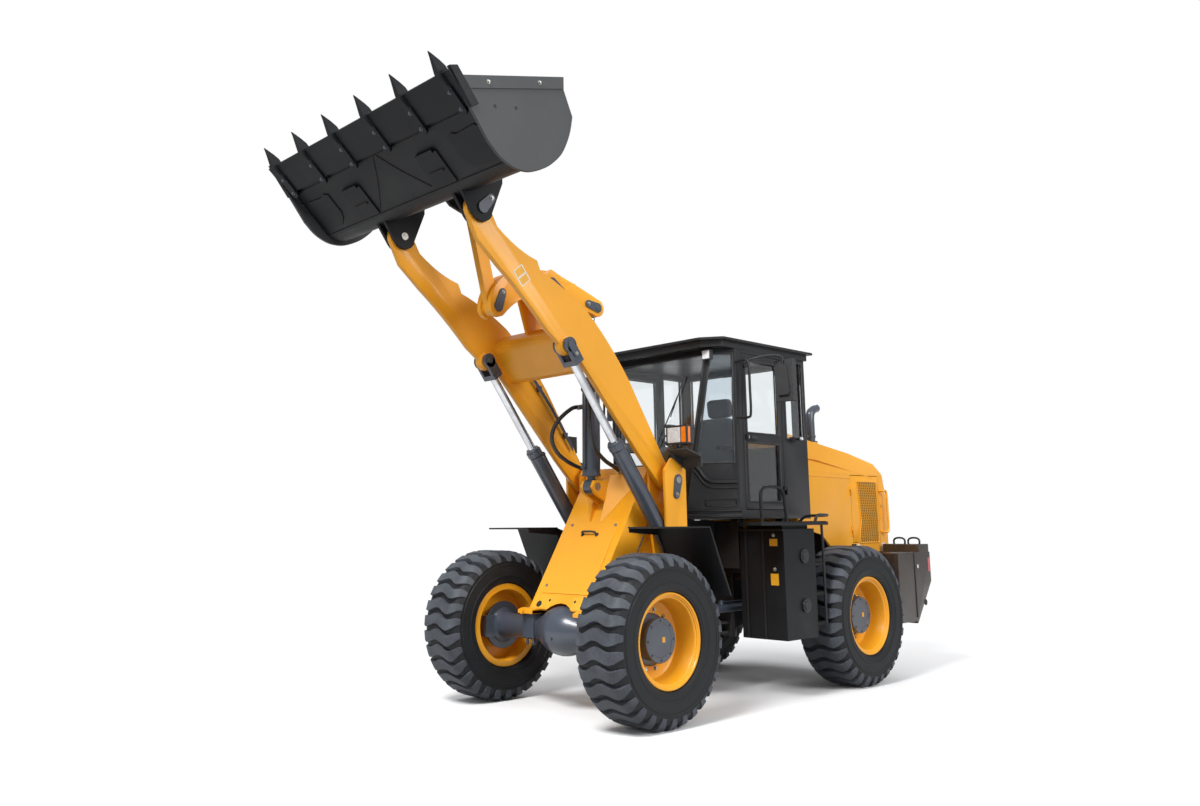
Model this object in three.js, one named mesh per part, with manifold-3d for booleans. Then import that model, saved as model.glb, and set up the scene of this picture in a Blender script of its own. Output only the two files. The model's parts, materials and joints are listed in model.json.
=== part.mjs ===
// An articulated wheel loader, standing with its boom raised and its bucket rolled back.
// +X is forward, +Y the machine's left and +Z up. The floor is z = 0, in millimetres.
// Side outlines are drawn in [x, z], measured from the vertical articulation pin, and the
// whole group is moved at the end so that the origin lies under the middle of its length.

import * as THREE from "three";
import { mergeVertices } from "three/addons/utils/BufferGeometryUtils.js";
import Module from "manifold-3d";

const wasm = await Module();
wasm.setup();

// ---------------------------------------------------------------- driving dimensions

const wheelbase = 2900;
const track = 1870; // between the middles of the left and right tyres
const tyreRadius = 650;
const tyreWidth = 440;
const rimRadius = 330; // bead seat
const rimWidth = 370;
const bucketWidth = 2440;
const armSpacing = 1000; // between the middles of the two boom plates
const armThickness = 45;
const cabHalfWidth = 760;
const cabRear = -1100;
const cabFloor = 1560;
const roofHeight = 3180;
const hoodHalfWidth = 600;
const hoodRear = -2780;
const pinRadius = 32;
const pinClearance = 0.3; // between a pin and the flats of the hole that it turns in
const seatGap = 0.3; // between two pieces that rest on each other
const swingGap = 6; // between pieces that move past each other

const frontAxleX = wheelbase / 2;
const rearAxleX = -wheelbase / 2;
const axleHeight = tyreRadius;
const originX = 437; // from the articulation pin forward to the middle of the length

// Pins of the lifting linkage, as [x, z] with the boom raised
const boomFoot = [673, 1894];
const bucketHinge = [2800, 3875];
const liftRodPin = [1903, 2936];
const liftBasePin = [651, 1250];
const tiltBasePin = [1116, 1845];
const tiltRodPin = [1086, 3427];
const bellcrankPivot = [1688, 3551];
const crossMember = [1624, 2972];
const linkPin = [2242, 3280];
const linkTop = [2460, 4105];

// ---------------------------------------------------------------- materials

const finish = (color, roughness, metalness) =>
  new THREE.MeshStandardMaterial({ color, roughness, metalness });
const yellowPaint = finish(0xf2a213, 0.4, 0.1);
const blackPaint = finish(0x1c1d20, 0.5, 0.1);
const greyPaint = finish(0x474e5b, 0.45, 0.2);
const castBrown = finish(0x3b332e, 0.65, 0.2);
const tyreRubber = finish(0x3a3c40, 0.85, 0);
const chromeSteel = finish(0xd6d8dc, 0.15, 1);
const cabGlass = finish(0x8fa3b3, 0.08, 0);
const seatCloth = finish(0x2a2a2d, 0.9, 0);
const lampGlass = finish(0xe8e6df, 0.15, 0);

// ---------------------------------------------------------------- solid helpers

const toSolid = (geometry) => {
  const bare = geometry.clone();
  for (const name of Object.keys(bare.attributes))
    if (name !== "position") bare.deleteAttribute(name);
  const merged = mergeVertices(bare, 1e-3);
  return new wasm.Manifold(
    new wasm.Mesh({
      numProp: 3,
      vertProperties: merged.attributes.position.array,
      triVerts: new Uint32Array(merged.index.array),
    }),
  );
};

const toGeometry = (manifold) => {
  const mesh = manifold.getMesh();
  const positions = new Float32Array(mesh.numVert * 3);
  for (let i = 0; i < mesh.numVert; i++)
    for (let k = 0; k < 3; k++)
      positions[3 * i + k] = mesh.vertProperties[mesh.numProp * i + k];
  const geometry = new THREE.BufferGeometry();
  geometry.setAttribute("position", new THREE.BufferAttribute(positions, 3));
  geometry.setIndex(new THREE.BufferAttribute(new Uint32Array(mesh.triVerts), 1));
  return geometry;
};

const join = (...pieces) =>
  toGeometry(pieces.map(toSolid).reduce((whole, piece) => whole.add(piece)));
const cut = (body, ...tools) =>
  toGeometry(tools.map(toSolid).reduce((whole, tool) => whole.subtract(tool), toSolid(body)));

// The same geometry on the other side of the middle plane, with its faces still outward
const mirrored = (geometry) => {
  const copy = (geometry.index ? geometry.toNonIndexed() : geometry.clone()).scale(1, -1, 1);
  const position = copy.attributes.position;
  for (let i = 0; i < position.count; i += 3) {
    const kept = new THREE.Vector3().fromBufferAttribute(position, i + 1);
    const moved = new THREE.Vector3().fromBufferAttribute(position, i + 2);
    position.setXYZ(i + 1, ...moved);
    position.setXYZ(i + 2, ...kept);
  }
  return copy;
};
const bothSides = (geometry) => [geometry, mirrored(geometry)];

const box = (x0, x1, y0, y1, z0, z1) =>
  new THREE.BoxGeometry(x1 - x0, y1 - y0, z1 - z0).translate(
    (x0 + x1) / 2,
    (y0 + y1) / 2,
    (z0 + z1) / 2,
  );

const outline = (points) => new THREE.Shape(points.map(([a, b]) => new THREE.Vector2(a, b)));

// A flat plate with its outline in [x, z], between two places across the machine
const sidePlate = (shape, y0, y1) => {
  const drawn = Array.isArray(shape) ? outline(shape) : shape;
  return new THREE.ExtrudeGeometry(drawn, {
    depth: y1 - y0,
    bevelEnabled: false,
    curveSegments: 6,
  })
    .rotateX(Math.PI / 2)
    .translate(0, y1, 0);
};

// A flat plate with its outline in [x, y], between two heights
const floorPlate = (points, z0, z1) =>
  new THREE.ExtrudeGeometry(outline(points), { depth: z1 - z0, bevelEnabled: false }).translate(
    0,
    0,
    z0,
  );

// A plate with its outline in [y, z], between two places along the machine
const crossPlate = (points, x0, x1) =>
  new THREE.ExtrudeGeometry(outline(points), { depth: x1 - x0, bevelEnabled: false })
    .rotateX(Math.PI / 2)
    .rotateZ(Math.PI / 2)
    .translate(x0, 0, 0);

const roundSides = 16;
const roundY = ([x, z], radius, y0, y1, sides = roundSides) =>
  new THREE.CylinderGeometry(radius, radius, y1 - y0, sides).translate(x, (y0 + y1) / 2, z);
const roundZ = ([x, y], radius, z0, z1, sides = roundSides) =>
  new THREE.CylinderGeometry(radius, radius, z1 - z0, sides)
    .rotateX(Math.PI / 2)
    .translate(x, y, (z0 + z1) / 2);
const roundX = ([y, z], radius, x0, x1, sides = roundSides) =>
  new THREE.CylinderGeometry(radius, radius, x1 - x0, sides)
    .rotateZ(Math.PI / 2)
    .translate((x0 + x1) / 2, y, z);

// A hole's corner radius, so that its flats clear a round pin by the given gap
const holeRadius = (radius, gap = pinClearance, sides = roundSides) =>
  (radius + gap) / Math.cos(Math.PI / sides);

// A bent round bar through the given points
const bar = (points, radius, steps = 24, sides = 8) => {
  const path = new THREE.CatmullRomCurve3(
    points.map((p) => new THREE.Vector3(...p)),
    false,
    "centripetal",
  );
  const section = new THREE.Shape();
  for (let i = 0; i < sides; i++) {
    const turn = (2 * Math.PI * i) / sides;
    const [a, b] = [radius * Math.cos(turn), radius * Math.sin(turn)];
    if (i === 0) section.moveTo(a, b);
    else section.lineTo(a, b);
  }
  return new THREE.ExtrudeGeometry(section, { steps, bevelEnabled: false, extrudePath: path });
};

const wheelSides = 24;
const lathe = (profile, sides = wheelSides) =>
  new THREE.LatheGeometry(
    profile.map(([r, h]) => new THREE.Vector2(r, h)),
    sides,
  );

// Hinge knuckles on an upright axis at [x, y]: the fixed halves, and the halves above them
// that turn. An arm from each reaches the panel's face at the given y.
const knuckles = ([x, y], radius, height, feet, armLength, face) => ({
  fixed: feet.flatMap((z) => [
    roundZ([x, y], radius, z, z + height, 8),
    box(x - armLength, x, face - 3, y, z + 2, z + height - 2),
  ]),
  turning: feet.flatMap((z) => [
    roundZ([x, y], radius, z + height + seatGap, z + 2 * height, 8),
    box(x, x + armLength, face - 3, y, z + height + 2, z + 2 * height - 2),
  ]),
});

const loader = new THREE.Group();
const place = (name, geometry, material) => {
  const mesh = new THREE.Mesh(geometry, material);
  mesh.name = name;
  loader.add(mesh);
};
const placePair = (name, geometry, material) => {
  place(`left_${name}`, geometry, material);
  place(`right_${name}`, mirrored(geometry), material);
};

// ---------------------------------------------------------------- hydraulic cylinders

// A cylinder lying along +X from its base pin: a barrel with an open bore, and a rod in it.
// The pins run across it, along Y.
const cylinderParts = (size) => {
  const { length, barrelLength, barrelRadius, rodRadius, eyeRadius, eyeWidth, rodEyeWidth } = size;
  const half = eyeWidth / 2;
  const neckEnd = eyeRadius + 24;
  const boreEnd = neckEnd + 25; // the base wall
  const boreRadius = rodRadius + 0.5;
  const rodInner = barrelLength - size.overlap;
  const barrelTube = cut(
    join(
      roundX([0, 0], half * 0.9, 0, neckEnd + 5),
      roundX([0, 0], barrelRadius, neckEnd, barrelLength),
      roundX([0, 0], barrelRadius * 1.1, barrelLength - 70, barrelLength),
      roundY([0, 0], eyeRadius, -half, half),
    ),
    roundX([0, 0], boreRadius, boreEnd, barrelLength + 1),
    roundY([0, 0], holeRadius(size.pinRadius ?? pinRadius), -half - 1, half + 1),
  );
  const forkBase = length - 2 * eyeRadius; // the solid block behind a fork's gap
  const rodHalf = rodEyeWidth / 2;
  const forkInner = size.forkGap / 2;
  const rodEnd = size.forkGap
    ? [
        box(forkBase - 45, forkBase, -rodHalf, rodHalf, -eyeRadius * 0.8, eyeRadius * 0.8),
        ...bothSides(box(forkBase - 5, length, forkInner, rodHalf, -eyeRadius * 0.8, eyeRadius * 0.8)),
        ...bothSides(roundY([length, 0], eyeRadius, forkInner, rodHalf)),
      ]
    : [roundY([length, 0], eyeRadius, -rodHalf, rodHalf)];
  const rodEndStart = size.forkGap ? forkBase - 20 : length - eyeRadius * 0.5;
  const rodBar = join(roundX([0, 0], rodRadius, rodInner, rodEndStart), ...rodEnd);
  return { barrelTube, rodBar };
};

// Turns and moves a piece drawn along +X so that it runs from one [x, z] point to another
const layBetween = (geometry, from, to, y) =>
  geometry
    .clone()
    .rotateY(-Math.atan2(to[1] - from[1], to[0] - from[0]))
    .translate(from[0], y, from[1]);
const distance = (a, b) => Math.hypot(a[0] - b[0], a[1] - b[1]);

// ---------------------------------------------------------------- wheels

const wheelFace = rimWidth / 2;

// Tyre section from bead to crown on one side, as [radius, distance from the middle]
const flangeRadius = rimRadius + 30;
const flangeThickness = 16;
const tyre = () => {
  const half = tyreWidth / 2;
  const beadRadius = rimRadius + 2 * seatGap;
  const beadFace = wheelFace - flangeThickness - 4;
  const outer = [
    [beadRadius, beadFace],
    [flangeRadius + 3, beadFace],
    [flangeRadius + 8, wheelFace + 8],
    [(flangeRadius + tyreRadius) / 2 - 15, half],
    [tyreRadius - 75, half - 8],
    [tyreRadius - 28, half - 30],
    [tyreRadius, half - 70],
  ];
  const inner = [
    [tyreRadius - 70, half - 60],
    [(flangeRadius + tyreRadius) / 2 - 15, half - 28],
    [flangeRadius + 12, beadFace - 6],
    [beadRadius, beadFace - 30],
  ];
  const ring = [...outer, ...outer.map(([r, h]) => [r, -h]).reverse()];
  const hollow = [...inner.map(([r, h]) => [r, -h]).reverse(), ...inner];
  return lathe([...ring, ...hollow, ring[0]].reverse());
};

// Rim with its flanges, a dished disc and the hub cap that covers the planetary gears
const rimDiscFace = -20; // the disc's outer face, from the wheel's middle towards the outside
const rim = () => {
  const flange = flangeRadius;
  const barrel = lathe(
    [
      [rimRadius - 22, -wheelFace],
      [flange, -wheelFace - 2],
      [flange, -wheelFace + flangeThickness],
      [rimRadius, -wheelFace + flangeThickness + 2],
      [rimRadius - 6, 0],
      [rimRadius, wheelFace - flangeThickness - 2],
      [flange, wheelFace - flangeThickness],
      [flange, wheelFace + 2],
      [rimRadius - 22, wheelFace],
      [rimRadius - 22, rimDiscFace],
      [0, rimDiscFace],
      [0, rimDiscFace - 18],
      [rimRadius - 22, rimDiscFace - 18],
      [rimRadius - 22, -wheelFace],
    ],
  );
  return barrel;
};
const hubFlange = 195;
const hub = () =>
  lathe(
    [
      [0, rimDiscFace],
      [hubFlange, rimDiscFace],
      [hubFlange, rimDiscFace + 22],
      [150, rimDiscFace + 40],
      [140, rimDiscFace + 100],
      [118, rimDiscFace + 116],
      [0, rimDiscFace + 118],
    ],
  );

const wheelY = track / 2;
const placeWheel = (name, x, side) => {
  const turn = (geometry) => {
    const across = side > 0 ? geometry : geometry.rotateX(Math.PI);
    return across.translate(x, side * wheelY, axleHeight);
  };
  place(`${name}_tyre`, turn(tyre()), tyreRubber);
  place(`${name}_rim`, turn(join(rim(), hub())), yellowPaint);
};
placeWheel("front_left", frontAxleX, 1);
placeWheel("front_right", frontAxleX, -1);
placeWheel("rear_left", rearAxleX, 1);
placeWheel("rear_right", rearAxleX, -1);

// ---------------------------------------------------------------- axles

const hubInner = rimDiscFace - 18; // the disc's back face, from the wheel's middle
const axleEnd = wheelY + hubInner - seatGap;
const stubRadius = 60; // the rear axle swings on a stub along the machine
const stubReach = 290;
const stubSides = 32;
const axle = (x, ...extras) => {
  const centre = [x, axleHeight];
  return join(
    roundY(centre, 115, -axleEnd + 60, axleEnd - 60, 24),
    roundY(centre, 150, axleEnd - 120, axleEnd, 24),
    roundY(centre, 150, -axleEnd, -axleEnd + 120, 24),
    new THREE.SphereGeometry(205, 14, 8).translate(x, 0, axleHeight),
    box(x - 130, x + 130, 260, 400, axleHeight - 90, axleHeight + 130),
    box(x - 130, x + 130, -400, -260, axleHeight - 90, axleHeight + 130),
    ...extras,
  );
};
const axlePad = axleHeight + 130;
place("front_axle", axle(frontAxleX), greyPaint);

// ---------------------------------------------------------------- front frame

const frameHalfWidth = 360;
const framePlate = 25;
const liftY = armSpacing / 2;
const towerHalf = 100; // half the space that each tower stands round its boom plate
const towerInner = liftY - towerHalf;
const towerOuter = liftY + towerHalf;
const pivotEarRadius = 95;
const pivotPinRadius = 48;
const upperEarZ = 1010;
const lowerEarZ = 560;
const earThickness = 50;

const steerBase = [-650, 440]; // the steering cylinders' pins, as [x, y]
const steerEye = [400, 460];
const steerZ = 762;
const steerPinRadius = 20;
const coverTop = [770, 2020];
const coverLow = [1530, axlePad + 42];
const frontFrame = () => {
  const wallShape = [
    [330, 560],
    [330, 1180],
    [600, 1560],
    [600, 1960],
    coverTop,
    coverLow,
    [1640, coverLow[1]],
    [1640, axlePad + seatGap],
    [frontAxleX - 200, axlePad + seatGap],
    [1100, 560],
  ];
  const walls = bothSides(sidePlate(wallShape, frameHalfWidth - framePlate, frameHalfWidth));
  const coverPlate = sidePlate(
    [coverTop, coverLow, [coverLow[0] - 12, coverLow[1] - 14], [coverTop[0] - 12, coverTop[1] - 14]],
    -frameHalfWidth,
    frameHalfWidth,
  );
  const towerShape = [
    [564, 1110],
    [564, 1983],
    [744, 2081],
    [840, 1975],
    [834, 1521],
    [760, 1110],
  ];
  const towers = [
    ...bothSides(sidePlate(towerShape, towerInner, towerInner + framePlate)),
    ...bothSides(sidePlate(towerShape, towerOuter - framePlate, towerOuter)),
  ];
  const towerBack = bothSides(box(564, 580, towerInner, towerOuter, 1110, 1700));
  const towerFloor = bothSides(box(400, 760, frameHalfWidth - 5, towerOuter, 1095, 1125));
  const towerWeb = bothSides(box(564, 700, frameHalfWidth - 5, towerInner + 5, 1110, 1960));
  const feet = bothSides(roundY(boomFoot, pinRadius, frameHalfWidth - 5, towerOuter + 8));
  const liftPins = bothSides(roundY(liftBasePin, pinRadius, towerInner, towerOuter));
  const rear = box(330, 355, -frameHalfWidth, frameHalfWidth, 560, 1180);
  const saddle = bothSides(
    box(frontAxleX - 150, frontAxleX + 150, 245, frameHalfWidth, axlePad + seatGap, axlePad + 30),
  );
  const floor = box(330, 1100, -frameHalfWidth, frameHalfWidth, 560, 580);
  const rearTop = sidePlate(
    [
      [330, 1160],
      [600, 1540],
      [600, 1570],
      [330, 1190],
    ],
    -frameHalfWidth,
    frameHalfWidth,
  );
  const topBack = box(588, 612, -frameHalfWidth, frameHalfWidth, 1550, 1960);
  const tiltLugShape = [
    [790, 1960],
    [1060, 1900],
    [1150, 1900],
    [1180, 1845],
    [1150, 1790],
    [1080, 1750],
    [960, 1690],
    [850, 1860],
  ];
  const tiltLugs = bothSides(sidePlate(tiltLugShape, 45, 75));
  const ear = (z) =>
    join(
      roundZ([0, 0], pivotEarRadius, z - earThickness / 2, z + earThickness / 2, 24),
      floorPlate(
        [
          [0, -pivotEarRadius],
          [345, -230],
          [345, 230],
          [0, pivotEarRadius],
        ],
        z - earThickness / 2,
        z + earThickness / 2,
      ),
    );
  const steerLugs = bothSides(
    join(
      box(370, 445, frameHalfWidth - 5, steerEye[1] + 40, 700, 716),
      box(370, 445, frameHalfWidth - 5, steerEye[1] + 40, 808, 824),
    ),
  );
  return cut(
    join(
      ...walls,
      coverPlate,
      ...towers,
      ...towerBack,
      ...towerFloor,
      ...towerWeb,
      ...feet,
      ...liftPins,
      rear,
      ...saddle,
      floor,
      rearTop,
      topBack,
      ...tiltLugs,
      ear(upperEarZ),
      ear(lowerEarZ),
      ...steerLugs,
    ),
    roundZ([0, 0], holeRadius(pivotPinRadius, 0.5, 24), 400, 1200, 24),
    roundY(tiltBasePin, holeRadius(pinRadius), -90, 90),
    roundX([0, axleHeight], 225, 1400, 1700, 24),
  );
};
place("front_frame", frontFrame(), yellowPaint);

// Mudguards behind the front wheels, carried by the outer plates of the towers
const fenderTop = 2 * tyreRadius + 200;
const fenderInner = towerOuter + seatGap;
const fenderOuter = 1150;
const fenderPlate = 12;
const frontFender = () =>
  join(
    sidePlate(
      [
        [1320, fenderTop],
        [1320, fenderTop - fenderPlate],
        [965, fenderTop - fenderPlate],
        [722, fenderTop - 555],
        [708, fenderTop - 550],
        [955, fenderTop],
      ],
      fenderInner,
      fenderOuter,
    ),
    sidePlate(
      [
        [1310, fenderTop - 6],
        [960, fenderTop - 6],
        [780, fenderTop - 60],
        [700, fenderTop - 140],
        [700, fenderTop - 350],
        [810, fenderTop - 350],
        [960, fenderTop - 70],
        [1310, fenderTop - 45],
      ],
      fenderInner,
      fenderInner + fenderPlate,
    ),
  );
placePair("front_fender", frontFender(), blackPaint);

// Headlamps on brackets above the towers
const headlamp = () =>
  join(
    sidePlate(
      [
        [600, 2000],
        [600, 2110],
        [800, 2150],
        [800, 2135],
        [620, 2090],
        [620, 2000],
      ],
      towerOuter + seatGap,
      towerOuter + 220,
    ),
    box(690, 720, towerOuter + 40, towerOuter + 80, 2120, 2200),
    box(640, 760, towerOuter - 10, towerOuter + 210, 2195, 2345),
  );
placePair("headlamp", headlamp(), lampGlass);

// ---------------------------------------------------------------- boom

const armOuter = liftY + armThickness / 2;
const armInner = liftY - armThickness / 2;
const noseRadius = 118;
const footRadius = 105;
const lobeRadius = 80; // the boom's lobe inside each lift rod's fork
const forkGap = 90;
const forkWidth = 150;
const bossHalf = forkGap / 2 - swingGap;

const armShape = () => {
  const shape = new THREE.Shape();
  shape.moveTo(2812, 3643);
  shape.lineTo(bucketHinge[0] + noseRadius * 0.8, bucketHinge[1] - noseRadius * 0.6);
  shape.absarc(bucketHinge[0], bucketHinge[1], noseRadius, -0.64, 2.1, false);
  shape.lineTo(2620, 3770);
  shape.quadraticCurveTo(2420, 3620, 2213, 3575);
  shape.lineTo(2177, 3495);
  shape.quadraticCurveTo(1960, 3430, 1667, 3246);
  shape.quadraticCurveTo(1420, 3040, 1190, 2737);
  shape.lineTo(756, 2074);
  shape.absarc(boomFoot[0], boomFoot[1], footRadius, 1.4, 5.2, false);
  shape.lineTo(805, 1843);
  shape.lineTo(1063, 2096);
  shape.lineTo(1645, 2720);
  shape.lineTo(1740, 2822);
  shape.lineTo(1795, 2896);
  shape.absarc(liftRodPin[0], liftRodPin[1], lobeRadius, 3.6, 0.1, false);
  shape.lineTo(2106, 3033);
  shape.quadraticCurveTo(2350, 3280, 2607, 3471);
  return shape;
};
const liftArms = () => {
  const arms = bothSides(sidePlate(armShape(), armInner, armOuter));
  const bosses = bothSides(roundY(liftRodPin, lobeRadius - 5, liftY - bossHalf, liftY + bossHalf));
  // the cross member is a rounded box section that follows the slope of the arms
  const slope = Math.atan2(0.8, 0.6);
  const section = new THREE.Shape();
  const [long, thick, corner] = [210, 118, 90];
  section.moveTo(-long + corner, -thick);
  section.lineTo(long - corner, -thick);
  section.absarc(long - corner, -thick + corner, corner, -Math.PI / 2, 0, false);
  section.lineTo(long, thick - corner);
  section.absarc(long - corner, thick - corner, corner, 0, Math.PI / 2, false);
  section.lineTo(-long + corner, thick);
  section.absarc(-long + corner, thick - corner, corner, Math.PI / 2, Math.PI, false);
  section.lineTo(-long, -thick + corner);
  section.absarc(-long + corner, -thick + corner, corner, Math.PI, 1.5 * Math.PI, false);
  const crossTube = sidePlate(section, -armInner - 5, armInner + 5)
    .rotateY(-slope)
    .translate(crossMember[0], 0, crossMember[1]);
  const lugShape = [
    [1610, 3040],
    [1560, 3500],
    [1580, 3630],
    [1688, 3670],
    [1800, 3620],
    [1850, 3420],
    [1745, 3100],
  ];
  const lugs = bothSides(sidePlate(lugShape, 100, 130));
  return cut(
    join(...arms, ...bosses, crossTube, ...lugs),
    roundY(boomFoot, holeRadius(pinRadius), -700, 700),
    roundY(bucketHinge, holeRadius(pinRadius), -700, 700),
    roundY(bellcrankPivot, holeRadius(pinRadius), -200, 200),
  );
};
place("lift_arms", liftArms(), yellowPaint);

// ---------------------------------------------------------------- bellcrank and link

const crankHalf = 85;
place("bellcrank_pin", roundY(bellcrankPivot, pinRadius, -138, 138), greyPaint);

const crankGap = 44; // half the space between its two plates
const bellcrank = () => {
  const shape = new THREE.Shape();
  const [dx, dz] = tiltRodPin;
  const [ex, ez] = bellcrankPivot;
  const [fx, fz] = linkPin;
  shape.moveTo(dx - 45, dz + 65);
  shape.quadraticCurveTo(ex - 250, ez + 75, ex - 60, ez + 115);
  shape.quadraticCurveTo(ex + 330, ez + 110, fx - 60, fz + 260);
  shape.quadraticCurveTo(fx + 84, fz + 140, fx + 84, fz);
  shape.absarc(fx, fz, 84, 0, -2.4, true);
  shape.quadraticCurveTo(fx - 170, fz + 60, ex + 250, ez - 150);
  shape.quadraticCurveTo(ex + 60, ez - 130, ex - 120, ez - 120);
  shape.absarc(dx, dz, 80, -0.9, -3.9, true);
  const plate = sidePlate(shape, crankGap, crankHalf);
  const hub = roundY(bellcrankPivot, 95, -crankHalf, crankHalf);
  const web = sidePlate(
    [
      [ex - 330, ez + 20],
      [ex - 330, ez + 50],
      [ex, ez + 80],
      [ex + 300, ez + 20],
      [ex + 300, ez - 20],
      [ex, ez + 40],
    ],
    -crankHalf,
    crankHalf,
  );
  return cut(
    join(plate, mirrored(plate), hub, web),
    roundY(bellcrankPivot, holeRadius(pinRadius), -200, 200),
    roundY(linkPin, holeRadius(pinRadius), -200, 200),
  );
};
place("bellcrank", bellcrank(), yellowPaint);

place("link_pin", roundY(linkPin, pinRadius, -92, 92), greyPaint);
const linkLength = distance(linkPin, linkTop);
const bucketLink = () =>
  cut(
    join(
      roundY([0, 0], 70, -crankGap + 2, crankGap - 2),
      roundY([linkLength, 0], 66, -crankGap + 2, crankGap - 2),
      sidePlate(
        [
          [0, -60],
          [linkLength, -55],
          [linkLength, 55],
          [0, 60],
        ],
        -30,
        30,
      ),
    ),
    roundY([0, 0], holeRadius(pinRadius), -60, 60),
  );
place("bucket_link", layBetween(bucketLink(), linkPin, linkTop, 0), yellowPaint);

// ---------------------------------------------------------------- bucket

const shellThickness = 22;
const sideThickness = 25;
const bucketHalf = bucketWidth / 2;
const shellPoints = [
  [3590, 4470],
  [3060, 3985],
  [2960, 3965],
  [2860, 4000],
  [2700, 4110],
  [2590, 4260],
  [2530, 4430],
  [2540, 4560],
  [2590, 4730],
];

const bucket = () => {
  // the shell follows its outer points, and its inner face lies one thickness in
  const centre = [3000, 4500];
  const inward = ([x, z]) => {
    const reach = Math.hypot(centre[0] - x, centre[1] - z);
    const share = shellThickness / reach;
    return [x + (centre[0] - x) * share, z + (centre[1] - z) * share];
  };
  const shell = sidePlate(
    [
      ...shellPoints,
      [2612, 4724],
      ...shellPoints.slice(1, -1).map(inward).reverse(),
      [3575, 4487],
    ],
    -bucketHalf,
    bucketHalf,
  );
  const sideShape = [
    [3546, 4454],
    [3479, 4314],
    [3291, 4073],
    [3080, 3943],
    [2895, 3948],
    [2693, 4058],
    [2560, 4230],
    [2491, 4456],
    [2583, 4655],
    [2581, 4736],
  ];
  const sides = bothSides(sidePlate(sideShape, bucketHalf - sideThickness, bucketHalf));
  const edge = sidePlate(
    [
      [3612, 4488],
      [3440, 4330],
      [3460, 4308],
      [3632, 4466],
    ],
    -bucketHalf,
    bucketHalf,
  );
  const teeth = [225, 675, 1125].flatMap((y) =>
    bothSides(
      sidePlate(
        [
          [3520, 4360],
          [3723, 4580],
          [3728, 4574],
          [3660, 4430],
          [3560, 4330],
        ],
        y - 40,
        y + 40,
      ),
    ),
  );
  const topBeam = box(2560, 2640, -bucketHalf, bucketHalf, 4640, 4730);
  const bracketShape = [
    [2600, 4200],
    [2600, 4103],
    [2745, 3800],
    [2800, 3765],
    [2870, 3780],
    [3000, 3970],
    [2900, 4020],
  ];
  const bracketAt = (y0) => bothSides(sidePlate(bracketShape, y0, y0 + 30));
  const lugShape = [
    [2400, 4060],
    [2400, 4150],
    [2460, 4190],
    [2600, 4400],
    [2700, 4150],
    [2620, 4080],
    [2480, 4035],
  ];
  const linkLugs = bothSides(sidePlate(lugShape, 52, 82));
  return cut(
    join(
      shell,
      ...sides,
      edge,
      ...teeth,
      topBeam,
      ...bracketAt(armInner - 40),
      ...bracketAt(armOuter + 10),
      ...linkLugs,
    ),
    roundY(bucketHinge, holeRadius(pinRadius), -700, 700),
  );
};
place("bucket", bucket(), blackPaint);
placePair("bucket_pin", roundY(bucketHinge, pinRadius, armInner - 44, armOuter + 44), greyPaint);

// ---------------------------------------------------------------- lift, tilt and steering cylinders

const lift = cylinderParts({
  length: distance(liftBasePin, liftRodPin),
  barrelLength: 1180,
  barrelRadius: 63,
  rodRadius: 35,
  eyeRadius: 62,
  eyeWidth: 120,
  rodEyeWidth: forkWidth,
  forkGap,
  overlap: 110,
});
placePair("lift_barrel", layBetween(lift.barrelTube, liftBasePin, liftRodPin, liftY), greyPaint);
placePair("lift_rod", layBetween(lift.rodBar, liftBasePin, liftRodPin, liftY), chromeSteel);

const tilt = cylinderParts({
  length: distance(tiltBasePin, tiltRodPin),
  barrelLength: 960,
  barrelRadius: 78,
  rodRadius: 40,
  eyeRadius: 68,
  eyeWidth: 88,
  rodEyeWidth: 2 * crankGap - 4,
  overlap: 110,
});
place("tilt_barrel", layBetween(tilt.barrelTube, tiltBasePin, tiltRodPin, 0), greyPaint);
place("tilt_rod", layBetween(tilt.rodBar, tiltBasePin, tiltRodPin, 0), chromeSteel);
place("tilt_base_pin", roundY(tiltBasePin, pinRadius, -80, 80), greyPaint);

const steer = cylinderParts({
  length: distance(steerBase, steerEye),
  barrelLength: 700,
  barrelRadius: 37,
  rodRadius: 22,
  eyeRadius: 40,
  eyeWidth: 60,
  rodEyeWidth: 60,
  overlap: 315,
  pinRadius: steerPinRadius,
});
const laySteering = (geometry) =>
  geometry
    .clone()
    .rotateX(Math.PI / 2)
    .rotateZ(Math.atan2(steerEye[1] - steerBase[1], steerEye[0] - steerBase[0]))
    .translate(steerBase[0], steerBase[1], steerZ);
placePair("steer_barrel", laySteering(steer.barrelTube), greyPaint);
placePair("steer_rod", laySteering(steer.rodBar), chromeSteel);

// ---------------------------------------------------------------- rear frame

const railY = 330;
const railTop = 1000; // the hangers' top, which carries the engine

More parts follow.
